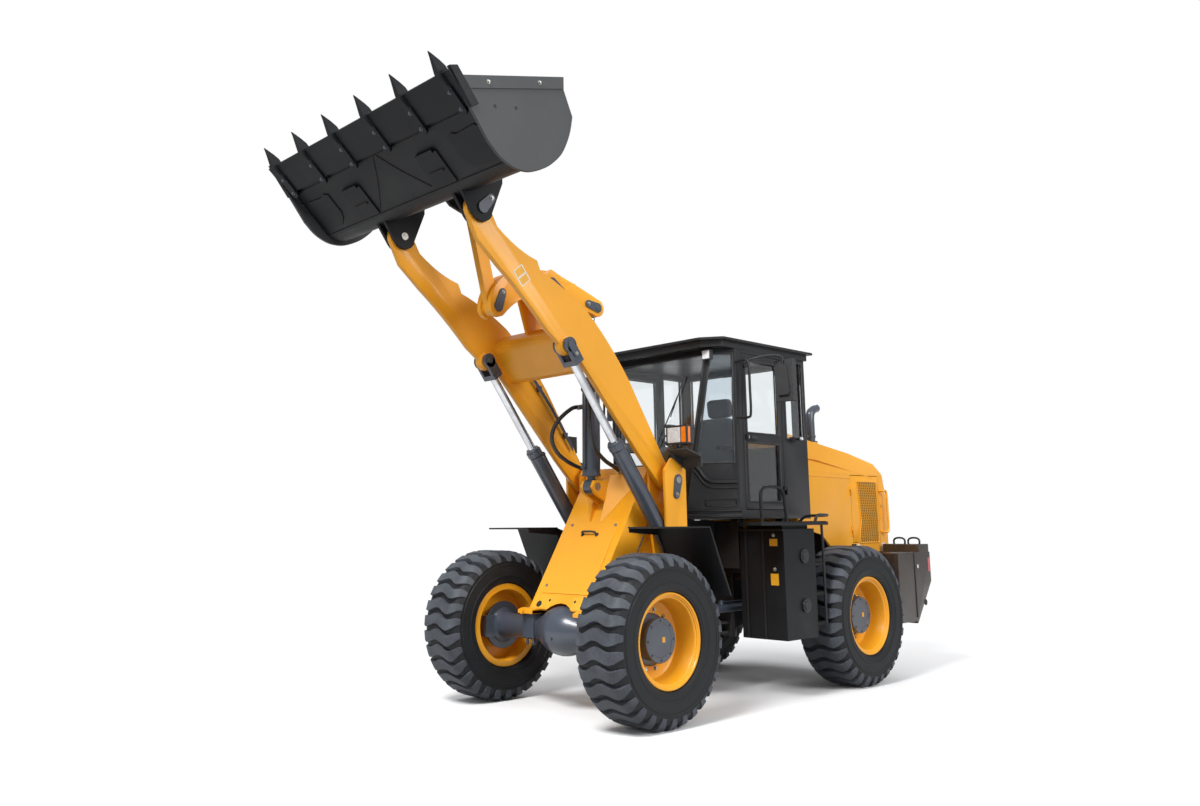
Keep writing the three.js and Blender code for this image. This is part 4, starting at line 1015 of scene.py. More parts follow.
def make_headlamp(word, side):
    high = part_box(word + "_headlamp")[1]
    z0, z1 = high.z - 0.155, high.z
    x0, x1 = high.x - 0.105, high.x - 0.004
    y0, y1 = 0.592, 0.808
    lamp = Shape(word + "_headlamp_unit")
    lamp.use("trim").box((x0, y0, z0), (x1 - 0.012, y1, z1))
    lamp.box((x0 - 0.03, y0 + 0.03, z0 + 0.03), (x0 + 0.01, y1 - 0.03, z1 - 0.03))
    # the reflector, a pale white of painted reflection
    lamp.use("reflector").box((x1 - 0.014, y0 + 0.012, z0 + 0.014), (x1 - 0.001, y1 - 0.064, z1 - 0.014))
    lamp.use("lens")
    for i in range(9):
        y = y0 + 0.024 + 0.0145 * i
        lamp.rod((x1 - 0.001, y, z0 + 0.02), (0, 0, 1), 0.0042, 0, z1 - z0 - 0.04, 8)
    lamp.use("amber").box((x1 - 0.050, y1 - 0.056, z0 + 0.012), (x1 + 0.001, y1 + 0.003, z1 - 0.012))
    lamp.use("trim")
    for z in (z0 + 0.004, z1 - 0.004):
        lamp.box((x1 - 0.02, y0 - 0.002, z - 0.006), (x1 + 0.002, y1 + 0.001, z + 0.006))
    for y in (y0 + 0.004, y1 - 0.060, y1 - 0.001):
        lamp.box((x1 - 0.02, y - 0.005, z0), (x1 + 0.002, y + 0.005, z1))
    lamp.rod((x0 + 0.035, 0.66, z0), (0, 0, -1), 0.016, -0.01, 0.06, 20)
    lamp.rod((x0 + 0.035, 0.66, z0 - 0.052), (0, 0, 1), 0.034, 0, 0.012, 24)
    bracket = outline((600, 2000), (600, 2096), (800, 2150), (806, 2140), (620, 2084), (612, 2000))
    lamp.side_slab(bracket, 0.6005, 0.815)
    gusset = outline((606, 2006), (606, 2088), (770, 2132))
    lamp.side_slab(gusset, 0.602, 0.608)
    lamp.place("front_body", [word + "_headlamp"], width=0.004, flipped=side < 0)


class LOADER_OT_front_frame(bpy.types.Operator):
    """Front frame with its cover, fenders and headlamps"""

    bl_idname = "loader.front_frame"
    bl_label = "Front frame"

    def execute(self, context):
        edge = sizes().edge
        rounded_copy("front_frame", "yellow", edge)
        for word, side in SIDES:
            rounded_copy(word + "_front_fender", "bucket", edge * 0.8)
            make_headlamp(word, side)

        out, on_cover = slope(*spots((770, 0, 2020), (1530, 0, 822)))
        lid = Shape("frame_cover_lid").use("yellow")
        lid.raised(rectangle(0.56, -0.285, 1.27, 0.285), on_cover, -0.001, 0.006)
        # ribs beside the tilt cylinder's lugs
        for side in (-1, 1):
            corners = ((0.16, 0.078, 0.125), (0.16, 0.078, 0.0), (0.60, 0.060, 0.0), (0.10, 0.335, 0.0))
            lid.add(
                [on_cover(a, side * b, height) for a, b, height in corners],
                [(0, 1, 2), (0, 2, 3), (0, 3, 1), (1, 3, 2)],
            )
        lid.use("zinc")
        for a, b in ((0.60, -0.26), (0.60, 0.26), (1.20, -0.26), (1.20, 0.26)):
            lid.bolt(on_cover(a, b, 0.006), out, 0.010)
        lid.use("trim")
        grip = (
            (0.695, -0.085, 0.004), (0.685, -0.068, 0.036), (0.685, 0, 0.040), (0.685, 0.068, 0.036),
            (0.695, 0.085, 0.004),
        )
        lid.bent([on_cover(*at) for at in grip], 0.009, 6, 12)
        for b in (-0.075, 0.075):
            lid.rod(on_cover(0.695, b * 1.13, 0.0), out, 0.020, 0, 0.008, 20)
        lid.use("label")
        for b in (-0.20, 0.20):
            lid.raised(rectangle(1.30, b - 0.075, 1.41, b + 0.075), on_cover, 0.0, 0.0022)
        # dark discs of painted shade that stand for holes in the cover
        lid.use("vent")
        for b in (-0.15, 0.15):
            lid.rod(on_cover(1.335, b, 0.0005), out, 0.013, 0, 0.0025, 20)
            lid.rod(on_cover(1.375, b * 1.75, 0.0005), out, 0.030, 0, 0.003, 28)
        lid.place("front_body", width=0.002)

        trim = Shape("tower_trim")
        base = pin_at("boom_lift", 0.600)
        trim.keeper(base, 0.028, -0.125, 0.048, 0.036, 0.6005, 0.613)
        trim.rod(base, ACROSS, 0.030, 0.0, 0.018, 24)
        trim.use("slate").link_plate(
            (base.x, base.z - 0.644), 0.044, (base.x - 0.10, base.z - 0.60), 0.03, 0.6005, 0.611
        )
        pads = outline((1290, 782), (1610, 782), (1610, 812), (1560, 826), (1500, 826), (1290, 812))
        trim.use("yellow").side_slab(pads, 0.245, 0.420)
        trim.use("zinc")
        for x, z in ((1352, 812), (1548, 814)):
            for y in (292, 368):
                trim.bolt(spot(x, y, z), (0, 0, 1), 0.014)
        # folded stiffening lips under the fenders
        trim.use("black")
        trim.bent(spots((1316, 608, 1492), (1318, 870, 1492), (1316, 1142, 1492)), 0.007, 4, 8)
        trim.bent(spots((958, 1144, 1490), (840, 1144, 1221), (718, 1144, 952)), 0.007, 4, 8)
        # grease pipes on the frame's side wall
        trim.use("hose")
        trim.bent(spots((700, 366, 1700), (820, 372, 1500), (980, 372, 1250), (1120, 368, 1010)), 0.006, 6, 8)
        trim.place("front_body", width=0.0015, both=True)
        return {"FINISHED"}


# ---------------------------------------------------------------- cab


def seal_round(shape, corners, radius):
    """A rubber strip round a window with the given corners."""
    corners = [Vector(c) for c in corners]
    for a, b in zip(corners, corners[1:] + corners[:1]):
        shape.rod(a, b - a, radius, -radius * 0.7, (b - a).length + radius * 0.7, 8, 0.0005)


CAB_FOOT, CAB_TOP = 1560, 3090  # millimetres
CORNER_RUN_X, CORNER_RUN_Y = 320, 370  # the slanting front corner, seen from above
SCREEN_LEAN = 165  # how far the screen leans back over the cab's height


def cab_height(z):
    return (z - CAB_FOOT) / (CAB_TOP - CAB_FOOT)


def slant_point(share, z):
    """A point on the slanting front corner of the left side of the cab; z is in millimetres."""
    height = cab_height(z)
    x = 10 + CORNER_RUN_X * share - SCREEN_LEAN * share * height
    return spot(x, 760 - CORNER_RUN_Y * share + 198 * share * height, z)


def slant_line(*points):
    return [slant_point(*point) for point in points]


def power(value, exponent):
    return math.copysign(abs(value) ** exponent, value)


def pillow(shape, centre, size, lean=0.0, hollow=0.0, steps=14):
    """A crowned cushion, flat towards its middle, with its sides drawn in between its corners."""
    points, faces = [], []
    turned = Matrix.Rotation(lean, 3, "Y")
    half = Vector(size) / 2
    grid = 2 * steps
    for spoke in around(grid, (1, 0, 0), ACROSS):
        for j in range(steps + 1):
            tilt = -math.pi / 2 + math.pi * j / steps
            rim = power(math.cos(tilt), 0.42)
            x, y, z = rim * power(spoke.x, 0.38), rim * power(spoke.y, 0.38), power(math.sin(tilt), 0.62)
            dip = hollow * (1 - x * x) * (1 - y * y) if z > 0 else 0
            points.append(Vector(centre) + turned @ Vector((x * half.x, y * half.y, z * half.z - dip)))
    row = steps + 1
    for i in range(grid):
        a, b = i * row, (i + 1) % grid * row
        faces += [(a + j, b + j, b + j + 1, a + j + 1) for j in range(steps)]
    shape.add(points, faces)
    bmesh.ops.remove_doubles(shape.mesh, verts=shape.mesh.verts, dist=1e-5)


def make_mirror(word, side):
    """A rounded mirror housing hung from a bent arm on the door's front edge."""
    mirror = Shape(word + "_mirror_head").use("trim")
    mirror.block((-368, 954, 2606), (-312, 1146, 2984))
    boss = [(0.985, 2.70), (1.000, 2.66), (1.100, 2.66), (1.115, 2.70), (1.090, 2.93), (1.010, 2.93)]
    mirror.front_slab(boss, PIVOT_X - 0.316, PIVOT_X - 0.288)
    # the mirror glass, a pale white of painted reflection
    mirror.use("reflector").block((-371, 966, 2620), (-368, 1134, 2970))
    mirror.use("black")
    arm = spots(
        (-128, 772, 2948), (-132, 800, 2985), (-170, 880, 3012), (-245, 985, 3022), (-296, 1045, 3006),
        (-301, 1050, 2950),
        (-301, 1050, 2860),
    )
    mirror.bent(arm, 0.011, 7, 12)
    mirror.rod(spot(-128, 762, 2948), ACROSS, 0.026, 0, 0.014, 20)
    mirror.place(word + "_door", [word + "_mirror"], width=0.012, flipped=side < 0)


class LOADER_OT_cab(bpy.types.Operator):
    """Cab shell, roof, glass, doors with inner pull bars, and mirrors"""

    bl_idname = "loader.cab"
    bl_label = "Cab"

    def execute(self, context):
        edge = sizes().edge
        rounded_copy("cab_frame", "black", edge * 1.6)
        panes = ["windscreen", "rear_window"]
        for word, side in SIDES:
            rounded_copy(word + "_door", "black", edge)
            make_mirror(word, side)
            dress(word + "_quarter_glass", "tinted")
            panes += [word + kind for kind in ("_door_glass", "_side_glass")]
        for pane in panes:
            dress(pane, "glass")

        shell = Shape("cab_shell_trim").use("trim")
        low, high = 2060, 3045
        seal_round(shell, slant_line((0.1, low), (0.92, low), (0.92, high), (0.1, high)), 0.009)
        seal_round(shell, spots(*((x, 762, z) for x, z in rectangle(-1050, 2310, -750, 3050))), 0.008)
        # pressed beads in the lower corner panel
        shell.use("black")
        sweep = (
            (0.97, 2040), (0.86, 2000), (0.74, 1935), (0.62, 1900), (0.5, 1892), (0.28, 1890), (0.05, 1890)
        )
        for drop, radius in ((0, 0.020), (52, 0.012)):
            shell.bent([slant_point(a, z - drop) for a, z in sweep], radius, 6, 10)
        capsule = slant_line(
            (0.06, 1720), (0.10, 1735), (0.58, 1735), (0.64, 1718), (0.64, 1690), (0.58, 1674), (0.10, 1674),
            (0.06, 1690),
            (0.06, 1720),
        )
        shell.bent(capsule, 0.010, 5, 8)
        for z, radius in ((1634, 0.012), (1592, 0.024)):
            shell.bent(slant_line((-0.02, z), (0.5, z), (1.0, z)), radius, 4, 10)
        # grab rail on the door post
        rail = spots(
            (4, 756, 2965), (-6, 860, 2975), (-8, 892, 2925), (-8, 896, 2720), (-8, 896, 2500),
            (-6, 868, 2455), (4, 756, 2465)
        )
        shell.bent(rail, 0.0115, 6, 12)
        # catch for the open door, behind the doorway
        shell.block((-880, 758, 2285), (-800, 806, 2325))
        shell.rod(spot(-840, 800, 2305), ACROSS, 0.012, 0, 0.055, 16)
        shell.use("plate").rod(spot(-840, 855, 2305), ACROSS, 0.015, 0, 0.022, 16)
        # work lamp under the roof's front edge
        shell.use("trim").block((185, 560, 2985), (232, 650, 3075))
        # the lamp's reflector, a pale white of painted reflection
        shell.use("reflector").block((231, 567, 2993), (235, 643, 3067))
        shell.place("rear_body", width=0.0015, both=True)

        low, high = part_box("cab_roof")
        roof = Shape("roof_panel").use("black")
        for inset, chamfer, z0, z1 in (
            (0.042, 0.16, low.z, high.z - 0.030),
            (0.0, 0.18, high.z - 0.032, high.z - 0.008),
            (0.16, 0.12, high.z - 0.010, high.z),
        ):
            x0, x1, y1 = low.x + inset, high.x - inset, high.y - inset
            nose = [
                (x1 - chamfer * 0.7, -y1), (x1, -y1 + chamfer), (x1, y1 - chamfer), (x1 - chamfer * 0.7, y1)
            ]
            roof.floor_slab([(x0, -y1), *nose, (x0, y1)], z0, z1)
        for y in (-0.45, -0.15, 0.15, 0.45):
            roof.floor_slab(
                rectangle(low.x + 0.2, y - 0.03, high.x - 0.2, y + 0.03), high.z - 0.004, high.z + 0.006
            )
        roof.place("rear_body", ["cab_roof"], width=0.004)

        front = Shape("screen_seal").use("trim")
        corners = []
        for y, z in rectangle(-365, 2060, 365, 3045):
            height = cab_height(z)
            corners.append(spot(330 - SCREEN_LEAN * height, y * (1 + 0.5077 * height), z))
        seal_round(front, corners, 0.009)
        seal_round(front, spots(*((-1102, y, z) for y, z in rectangle(-620, 2260, 620, 3040))), 0.009)
        # wiper
        front.use("hose").bent(spots((282, -60, 2050), (262, 60, 2300), (214, 250, 2690)), 0.006, 6, 8)
        front.bent(spots((238, 180, 2500), (216, 260, 2700), (196, 330, 2880)), 0.005, 6, 8)
        front.place("rear_body")

        for word, side in SIDES:
            door = Shape(word + "_door_trim").use("trim")
            for z0, z1 in ((1715, 2245), (2335, 2995)):
                seal_round(door, spots(*((x, 761, z) for x, z in rectangle(-630, z0, -130, z1))), 0.007)
            door.use("black").block((-250, 758, 2262), (-110, 778, 2318))
            door.use("trim").block((-235, 776, 2276), (-150, 800, 2302))
            door.use("steel").rod(spot(-128, 776, 2290), ACROSS, 0.011, 0, 0.012, 20)
            # inner pull bar and the lower pane
            bar = spots((-600, 722, 2290), (-560, 690, 2290), (-300, 690, 2290), (-260, 722, 2290))
            door.use("black").bent(bar, 0.010, 6, 10)
            door.use("glass").block((-629, 737, 1716), (-131, 742, 2249))
            door.place(word + "_door", width=0.0015, flipped=side < 0)
        return {"FINISHED"}


class LOADER_OT_operator_place(bpy.types.Operator):
    """Seat cushions, console and steering wheel"""

    bl_idname = "loader.operator_place"
    bl_label = "Operator's place"

    def execute(self, context):
        base = Shape("seat_base").use("trim")
        base.block((-640, -210, 1965), (-270, 210, 2010))
        for i in range(4):
            z = 1700 + 65 * i
            base.block((-570 + 5 * i, -150 + 4 * i, z), (-380 - 5 * i, 150 - 4 * i, z + 52))
        base.block((-600, -170, 1622), (-340, 170, 1700))
        for side in (-1, 1):
            y0, y1 = sorted((side * 250, side * 300))
            base.block((-640, y0, 2215), (-330, y1, 2262))
        base.place("rear_body", ["operator_seat"], width=0.008)
        cushions = (
            ("seat_cushion", spot(-455, 0, 2062), (0.46, 0.48, 0.13), 0.08, 0.018),
            ("seat_back", spot(-700, 0, 2310), (0.50, 0.46, 0.12), math.radians(-79), 0.012),
            ("seat_headrest", spot(-745, 0, 2660), (0.19, 0.26, 0.09), math.radians(-82), 0.0),
        )
        for name, centre, size, lean, hollow in cushions:
            soft = Shape(name).use("cloth")
            pillow(soft, centre, size, lean, hollow)
            piece = soft.place("rear_body")

        desk = Shape("console").use("trim")
        body = outline((70, 1622), (70, 1960), (30, 2090), (60, 2130), (170, 2100), (215, 1960), (215, 1622))
        desk.side_slab(body, -0.125, 0.125)
        dash = outline((40, 2120), (10, 2230), (30, 2245), (165, 2200), (190, 2110))
        desk.side_slab(dash, -0.24, 0.24)
        column = spot(95, 0, 2110)
        aim = (spot(-70, 0, 2318) - column).normalized()
        desk.rod(column, aim, 0.024, 0, 0.27, 24)
        desk.place("rear_body", ["steering_column"], width=0.006)
        wheel = Shape("steering_wheel").use("trim")
        centre = column + aim * 0.275
        grip = [2 * math.pi * i / 12 for i in range(12)]
        circle = [(0.185 + 0.014 * math.cos(turn), 0.014 * math.sin(turn)) for turn in grip]
        wheel.turned(circle, centre, aim, 48)
        wheel.rod(centre, aim, 0.045, -0.02, 0.018, 28, 0.006)
        first, second = across(aim)[1:]
        for i in range(3):
            turn = 2 * math.pi * i / 3 + 0.5
            spoke = first * math.cos(turn) + second * math.sin(turn)
            wheel.bent(
                [centre + spoke * 0.03, centre + spoke * 0.11 - aim * 0.006, centre + spoke * 0.182], 0.009,
                4, 8,
            )
        wheel.place("rear_body")
        levers = Shape("control_levers").use("trim")
        levers.block((-520, -420, 1622), (-250, -310, 2150))
        for x in (-470, -400, -330):
            levers.rod(spot(x, -365, 2145), (0.15, 0, 1), 0.007, 0, 0.16, 12)
            levers.rod(spot(x + 24, -365, 2300), (0.15, 0, 1), 0.018, 0, 0.055, 20, 0.008)
        levers.place("rear_body", width=0.004)
        return {"FINISHED"}


# ---------------------------------------------------------------- rear body


# the perforated side grille, in millimetres
GRILLE_TOP, GRILLE_KINK, GRILLE_BACK = 1945, 1545, -2640
GRILLE_ROWS, GRILLE_STEP = 24, 26  # the rows overlap, as each is PITCH tall
PITCH, HOLE = 38, 24


def grille_cells():
    """Rows of (height, first x) for the side grille, whose front edge is kinked."""
    rows = []
    for z in [GRILLE_TOP - GRILLE_STEP * i for i in range(GRILLE_ROWS)]:
        if z > GRILLE_KINK:
            kink = (GRILLE_TOP - z) / (GRILLE_TOP - GRILLE_KINK)
        else:
            kink = 1 - 1.1 * (GRILLE_KINK - z) / 230
        rows.append((z, -2300 + 60 * (1 - kink)))
    return rows


def grille_cell(plate, x0, x1, z0, z1):
    """A field of the plate with a square hole in its middle, or none where the field is too narrow."""
    y_face, y_back = 606.5, 600.5
    outer = rectangle(x0, z0, x1, z1)
    if x1 - x0 < HOLE + 4:
        plate.add([spot(x, y_face, z) for x, z in outer], [(0, 1, 2, 3)])
        return
    cx, cz, half = (x0 + x1) / 2, (z0 + z1) / 2, HOLE / 2
    inner = rectangle(cx - half, cz - half, cx + half, cz + half)
    points = [spot(x, y_face, z) for x, z in outer + inner] + [spot(x, y_back, z) for x, z in inner]
    for ring in (0, 4):
        for k in range(4):
            after = (k + 1) % 4
            loop = (ring + k, ring + after, ring + 4 + after, ring + 4 + k)
            face = plate.mesh.faces.new([plate.mesh.verts.new(points[n]) for n in loop])
            face.material_index = plate.index


def make_grille(word, side):
    """A plate with square holes on a dark backing of painted shade, fixed to a hood door."""
    plate = Shape(word + "_side_grille").use("yellow")
    rows = grille_cells()
    for z, x in rows:
        count = int((x - GRILLE_BACK) // PITCH)
        ends = [x - PITCH * i for i in range(count + 1)] + [GRILLE_BACK]
        for x1, x0 in zip(ends, ends[1:]):
            grille_cell(plate, x0, x1, z - PITCH, z)
    bmesh.ops.remove_doubles(plate.mesh, verts=plate.mesh.verts, dist=WELD)
    bmesh.ops.recalc_face_normals(plate.mesh, faces=plate.mesh.faces)
    foot = rows[-1][0] - PITCH
    front = [(x, z) for z, x in rows[::4]] + [(rows[-1][1], foot)]
    edge = front + [(GRILLE_BACK, foot), (GRILLE_BACK, GRILLE_TOP)]
    for (ax, az), (bx, bz) in zip(edge, edge[1:] + edge[:1]):
        a, b = spot(ax, 604, az), spot(bx, 604, bz)
        plate.rod(a, b - a, 0.007, -0.004, (b - a).length + 0.004, 8, 0.001)
    # a thin dark sheet of painted shade behind the holes
    plate.use("vent").side_slab(outline(*edge), 0.6002, 0.6008)
    plate.use("yellow").block((-2668, 600, 1700), (-2655, 612, 1760))
    plate.place(word + "_hood_door", flipped=side < 0)


class LOADER_OT_hood(bpy.types.Operator):
    """Engine hood with its side doors, grilles, exhaust and rear grille"""

    bl_idname = "loader.hood"
    bl_label = "Hood"

    def execute(self, context):
        edge = sizes().edge
        rounded_copy("engine_hood", "yellow", edge * 4, 3)
        for word, side in SIDES:
            rounded_copy(word + "_hood_door", "yellow", edge)
            make_grille(word, side)
        detail = Shape("hood_detail").use("yellow")
        # pressed swage lines along the flank
        detail.bent(
            spots((-1150, 598, 2020), (-1330, 592, 2150), (-1700, 590, 2120), (-2560, 596, 1990)), 0.008, 8, 8
        )
        detail.bent(spots((-1140, 600, 1985), (-1700, 600, 1980), (-2110, 600, 1975)), 0.006, 6, 8)
        rail = spots(
            (-2690, 600, 1850), (-2698, 652, 1852), (-2742, 660, 1835), (-2752, 660, 1640),
            (-2748, 660, 1440),
            (-2712, 652, 1418), (-2700, 600, 1420),
        )
        detail.bent(rail, 0.0115, 6, 12)
        for key, low, high in (
            ("yellow", (-2736, 599, 1560), (-2706, 607, 1720)),
            ("plate", (-2760, 600, 1250), (-2700, 602, 1300)),
            ("plate", (-2250, 600, 1262), (-2200, 602, 1300)),
            ("trim", (-2160, 598, 1235), (-2090, 612, 1300)),
        ):
            detail.use(key).block(low, high)
        detail.use("zinc").rod(spot(-2722, 607, 1690), ACROSS, 0.012, 0, 0.006, 20)
        detail.use("steel").rod(spot(-2125, 612, 1262), ACROSS, 0.008, 0, 0.01, 16)
        detail.place("rear_body", width=0.001, both=True)

        pipe = Shape("exhaust_pipe").use("slate")
        foot = spot(-1980, 250, 0)
        foot.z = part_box("exhaust_stack")[0].z
        bend = spots((-1980, 250, 2612), (-1996, 250, 2680), (-2046, 250, 2722), (-2112, 250, 2742))
        pipe.bent([foot, foot + Vector((0, 0, 0.17)), *bend], 0.0455, 8, 28)
        pipe.ring(foot, (0, 0, 1), 0.068, 0.045, 0.0, 0.012, 40)
        pipe.ring(foot, (0, 0, 1), 0.052, 0.045, 0.05, 0.075, 40)
        pipe.use("zinc").bolt(foot + Vector((0.054, 0, 0.0625)), ACROSS, 0.007)
        pipe.place("rear_body", ["exhaust_stack"])

        # a thin dark sheet behind the bars, painted shade of the space behind the rear grille
        rear = Shape("rear_grille").use("vent")
        rear.block((-2846, -430, 1320), (-2841, 430, 1740))
        rear.use("yellow")
        for z in range(1335, 1335 + 29 * 14, 29):
            rear.block((-2862, -425, z), (-2842, 425, z + 12))
        for y in (-436, -145, 145, 436):
            rear.block((-2864, y - 9, 1312), (-2842, y + 9, 1750))
        for z in (1308, 1742):
            rear.block((-2864, -445, z), (-2842, 445, z + 12))
        for side in (-1, 1):
            y0, y1 = pair(side, 475, 560)
            for key, z0, z1 in (("red", 1560, 1690), ("amber", 1500, 1552)):
                rear.use(key).block((-2862, y0, z0), (-2841, y1, z1))
        rear.place("rear_body", width=0.0015)
        rounded_copy("engine_block", "slate", 0.02)
        return {"FINISHED"}


class LOADER_OT_chassis(bpy.types.Operator):
    """Rear frame, counterweight, side boxes with steps and rails"""

    bl_idname = "loader.chassis"
    bl_label = "Chassis"

    def execute(self, context):
        # The step boxes take the near-black bucket finish rather than the chassis black: their black paint,
        # darkened further as painted shade on their sides.
        for node, key, share, segments in (
            ("rear_frame", "black", 1, 2), ("counterweight", "bronze", 3, 3),
            ("left_step_box", "bucket", 1.3, 2), ("right_step_box", "bucket", 1.3, 2),
        ):
            rounded_copy(node, key, sizes().edge * share, segments)

        weight = Shape("counterweight_detail").use("black")
        for y in (740, 900):
            loop = ((0, 1286), (0, 1330), (30, 1352), (90, 1352), (120, 1330), (120, 1286))
            weight.bent([spot(-2700, y + dy, z) for dy, z in loop], 0.010, 6, 12)
        weight.use("red").block((-2835, 1048, 1010), (-2790, 1053, 1150))
        # a dark disc of painted shade that stands for a hole
        weight.use("vent").rod(spot(-2700, 1046, 700), ACROSS, 0.032, 0, 0.006, 28)
        weight.use("plate").block((-2590, 1048, 1050), (-2565, 1052, 1085))
        weight.use("black").block((-2520, 1046, 560), (-2500, 1056, 1200))
        weight.place("rear_body", width=0.002, both=True)
        tow = Shape("tow_jaw").use("bronze")
        jaw = [(PIVOT_X + x, y) for x, y in ((-2.74, -0.075), (-2.90, -0.06), (-2.90, 0.06), (-2.74, 0.075))]
        for z in (0.690, 0.790):
            tow.floor_slab(jaw, z, z + 0.028)
        tow.use("zinc").rod(spot(-2862, 0, 660), (0, 0, 1), 0.017, 0, 0.20, 24)
        tow.place("rear_body", width=0.003)

        box = Shape("side_box_detail").use("label")
        for z0, z1 in ((1.322, 1.384), (0.985, 1.085)):
            box.front_slab(rectangle(0.955, z0, 1.035, z1), PIVOT_X - 0.1205, PIVOT_X - 0.1185)
        box.use("zinc")
        for z in (1415, 1122):
            box.bolt(spot(-120, 998, z), (1, 0, 0), 0.012)
        box.use("black").block((-122, 640, 1452), (-108, 1100, 1468))
        for y in (700, 880):
            box.block((-122, y, 530), (-112, y + 14, 1460))
        # catches and caps on the outer face
        for z in (1230, 800):
            box.ring(spot(-420, 1100, z), ACROSS, 0.062, 0.040, -0.002, 0.016, 36)
            box.rod(spot(-420, 1100, z), ACROSS, 0.041, -0.002, 0.022, 36)
        # tread bars on the steps and the deck
        for z in (1140, 880, 620):
            for x in range(-745, -610, 22):
                box.block((x, 905, z + 24), (x + 8, 1090, z + 31))
        for x in range(-780, -780 + 46 * 16, 46):
            box.block((x, 880, 1529), (x + 10, 1120, 1535))
        # rails beside the steps and round the rear of the deck
        box.bent(spots((-745, 1090, 1500), (-748, 1092, 1200), (-748, 1092, 625)), 0.012, 6, 10)
        rail = spots(
            (-560, 1140, 1525), (-590, 1150, 1585), (-700, 1150, 1590), (-800, 1120, 1588),
            (-838, 1040, 1585),
            (-838, 880, 1580), (-830, 800, 1528),
        )
        box.bent(rail, 0.013, 6, 12)
        box.place("rear_body", width=0.0015, both=True)
        return {"FINISHED"}

# the tilt cylinder's hoses: (x, z) in millimetres, and how far each point spreads from the middle
UPPER_HOSE = (
    (1110, 2720), (1215, 2700), (1345, 2560), (1400, 2360), (1345, 2180), (1180, 2070), (1000, 2010),
    (900, 1975),
)
LOWER_HOSE = (
    (1100, 2560), (1190, 2540), (1300, 2420), (1330, 2280), (1270, 2150), (1150, 2060), (1000, 2005),
    (900, 1970),
)
HOSE_SPREAD = (0, 40, 110, 150, 140, 100, 60, 30)


class LOADER_OT_hoses(bpy.types.Operator):
    """Hydraulic hoses between the frame and the tilt cylinder"""

    bl_idname = "loader.hoses"
    bl_label = "Hoses"

    def execute(self, context):
        radius = sizes().hose_radius
        for name, side, points in (("tilt_hose_upper", 1, UPPER_HOSE), ("tilt_hose_lower", -1, LOWER_HOSE)):
            hose = Shape(name).use("hose")
            line = [spot(x, side * (118 + spread), z) for (x, z), spread in zip(points, HOSE_SPREAD)]
            hose.bent(line, radius, 8, 14)
            hose.use("zinc")
            for a, b in ((line[0], line[1]), (line[-1], line[-2])):
                hose.rod(a, b - a, radius * 1.35, -0.01, 0.045, 6)
            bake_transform(hose.place(None))
        block = Shape("control_valve").use("black")
        block.block((-112, -360, 1330), (250, 360, 1552))
        block.block((-120, -632, 1120), (-108, 632, 1545))
        block.use("slate").block((-90, -230, 1190), (150, 230, 1335))
        for y in range(-195, 196, 65):
            block.use("zinc").rod(spot(150, y, 1260), (1, 0, 0), 0.017, -0.002, 0.03, 6)
            drop = spots((178, y, 1260), (215, y, 1250), (240, y * 0.8, 1180), (235, y * 0.6, 1090))
            block.use("hose").bent(drop, 0.012, 5, 10)
        block.place("rear_body", width=0.003)
        both = Shape("frame_hoses").use("hose")
        for side in (-1, 1):
            run = ((480, 60, 1300), (300, 90, 1180), (100, 120, 1130), (-120, 110, 1130), (-330, 90, 1160))
            both.bent([spot(x, side * y, z) for x, y, z in run], radius * 1.1, 6, 12)
        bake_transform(both.place(None))
        return {"FINISHED"}


# ---------------------------------------------------------------- stage


FLOOR_REACH = 60
FLOOR_FADE = (4.0, 8.5)  # where the floor begins and ends to run into the backdrop, from the middle


def seen_ray(node, links, *kinds):
    """A node whose value is 1 for rays of the given kinds."""
    rays = node("LightPath")
    value = rays.outputs[f"Is {kinds[0]} Ray"]
    for kind in kinds[1:]:
        most = node("Math", operation="MAXIMUM")
        links.new(value, most.inputs[0])
        links.new(rays.outputs[f"Is {kind} Ray"], most.inputs[1])
        value = most.outputs["Value"]
    return value


def floor_finish():
    """A pale floor that runs into the white backdrop, and throws little light back up."""
    material, links, principled, node = shader("pale_floor")
    seen = seen_ray(node, links, "Camera", "Glossy", "Transmission")
    shade = node("Mix", data_type="RGBA")
    shade.inputs[6].default_value = (0.26, 0.26, 0.26, 1)
    shade.inputs[7].default_value = (0.92, 0.92, 0.92, 1)
    links.new(seen, shade.inputs[0])
    links.new(shade.outputs[2], principled.inputs["Base Color"])
    principled.inputs["Roughness"].default_value = 0.9
    place = node("TexCoord")
    reach = node("VectorMath", operation="LENGTH")
    links.new(place.outputs["Object"], reach.inputs[0])
    ends = {"From Min": FLOOR_FADE[0], "From Max": FLOOR_FADE[1]}
    far = node("MapRange", interpolation_type="SMOOTHSTEP", **ends)
    links.new(reach.outputs["Value"], far.inputs["Value"])
    share = node("Math", operation="MULTIPLY")
    links.new(far.outputs["Result"], share.inputs[0])
    links.new(seen, share.inputs[1])
    glow = node("Emission", Color=(1, 1, 1, 1), Strength=1.0)
    blend = node("MixShader")
    links.new(share.outputs["Value"], blend.inputs["Fac"])
    links.new(principled.outputs["BSDF"], blend.inputs[1])
    links.new(glow.outputs["Emission"], blend.inputs[2])
    links.new(blend.outputs["Shader"], material.node_tree.nodes["Material Output"].inputs["Surface"])
    return material


